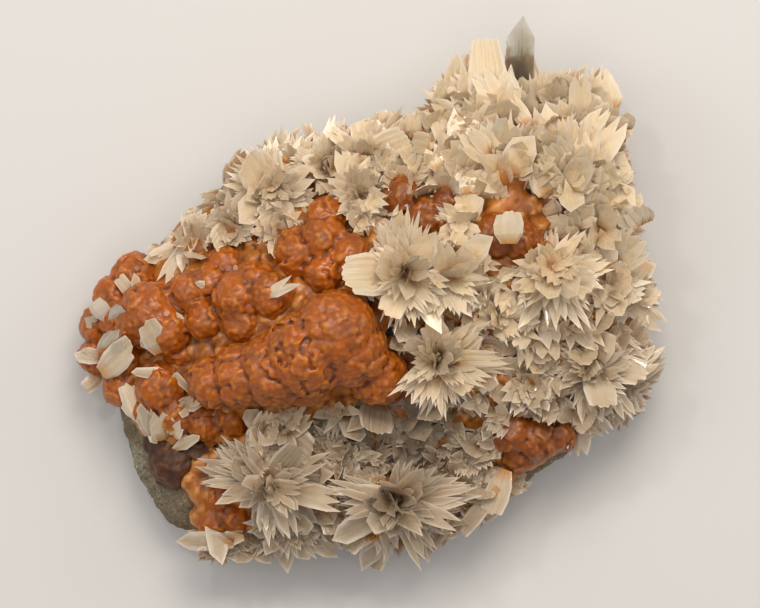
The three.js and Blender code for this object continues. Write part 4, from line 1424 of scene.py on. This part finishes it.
def add_camera():
    lens = bpy.data.cameras.new("camera")
    lens.sensor_width = SENSOR_WIDTH
    lens.lens = SENSOR_WIDTH * CAMERA_DISTANCE / VIEW_WIDTH
    lens.clip_start = 0.05
    lens.clip_end = 20
    camera = bpy.data.objects.new("camera", lens)
    camera.location = (VIEW_CENTRE[0] * MM, VIEW_CENTRE[1] * MM, (VIEW_HEIGHT + CAMERA_DISTANCE) * MM)
    bpy.context.scene.collection.objects.link(camera)
    bpy.context.scene.camera = camera


def add_softbox(name, place, size, watts, colour):
    lamp = bpy.data.lights.new(name, "AREA")
    lamp.shape = "DISK"
    lamp.size = size
    lamp.energy = watts
    lamp.color = colour
    box = bpy.data.objects.new(name, lamp)
    box.location = place
    box.rotation_euler = (Vector((0, 0, 0.02)) - Vector(place)).to_track_quat("-Z", "Y").to_euler()
    bpy.context.scene.collection.objects.link(box)


def add_stage():
    mesh = bpy.data.meshes.new("floor")
    low, high = -FLOOR_HALF, FLOOR_HALF
    mesh.from_pydata([(low, low, 0), (high, low, 0), (high, high, 0), (low, high, 0)], [], [(0, 1, 2, 3)])
    material, nodes, _ = new_material("pale floor")
    skin = nodes["Principled BSDF"]
    skin.inputs["Base Color"].default_value = (0.78, 0.79, 0.82, 1)
    skin.inputs["Roughness"].default_value = 0.7
    floor = link("floor", mesh, material)
    bpy.context.scene.view_settings.view_transform = "Standard"
    bpy.context.scene.view_settings.exposure = 0.0
    world = bpy.data.worlds.new("soft studio")
    world.use_nodes = True
    sky = world.node_tree.nodes["Background"]
    sky.inputs["Color"].default_value = (1.0, 0.97, 0.93, 1)
    sky.inputs["Strength"].default_value = 0.27
    bpy.context.scene.world = world
    for name, (place, size, watts, colour) in LIGHTS.items():
        add_softbox(name, place, size, watts, colour)


def main():
    add_camera()
    add_stage()
    groups = {"cloud tint": cloud_tint_group(), "striations": striation_group()}
    milky = milky_crystal("milky crystal", groups)
    crystal_looks = {
        "clear_crown_blade": clear_crystal("clear crystal", (0.72, 0.68, 0.52), 2200.0, 0.92,
                                           ((0.96, 0.95, 0.92), (0.8, 0.78, 0.74)), groups),
        "glassy_crystal": clear_crystal("glassy crystal", (0.9, 0.84, 0.76), 400.0, 0.5,
                                        ((0.86, 0.77, 0.64), (0.6, 0.48, 0.36)), groups),
        "left_block_crystal": clear_crystal("icy crystal", (0.95, 0.92, 0.88), 200.0, 0.35,
                                            ((0.96, 0.9, 0.8), (0.86, 0.76, 0.64)), groups),
    }
    orange = waxy_mineral("orange mineral", ORANGE, 0.0012, groups)
    brown = waxy_mineral("brown mineral", BROWN, 0.001, groups, 0.66)
    # Painted shade: a darker copy of the orange for the masses deep between the blades
    shaded_orange = waxy_mineral("shaded orange mineral", SHADED_ORANGE, 0.0012, groups)
    amber = waxy_mineral("amber crust", AMBER, 0.002, groups)
    lump_looks = {"brown_nodule": brown}
    # The masses deep between the blades take the darker, painted-shade copy of the orange
    for name in DEEP_MASSES:
        lump_looks[name] = shaded_orange

    make_rock(grained_rock("grained rock", groups))
    make_crust(amber)
    for i, (name, lumps) in enumerate(LUMP_MASSES.items()):
        make_lumps(name + "_scales", lumps, 200 + i, lump_looks.get(name, orange), name)

    sites = tuft_sites(np.random.default_rng(5))
    edges = edge_sites()
    growths = {name: growth_plates(name, index, sites, edges) for index, name in enumerate(GROWTHS)}
    heights = height_map(growths.values())
    for name, plates in growths.items():
        piece = blade_mesh(name + "_blades", plates, crystal_looks.get(name, milky), heights)
        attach(piece, "root")
        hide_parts(name)
    make_specks(heights, amber)


main()
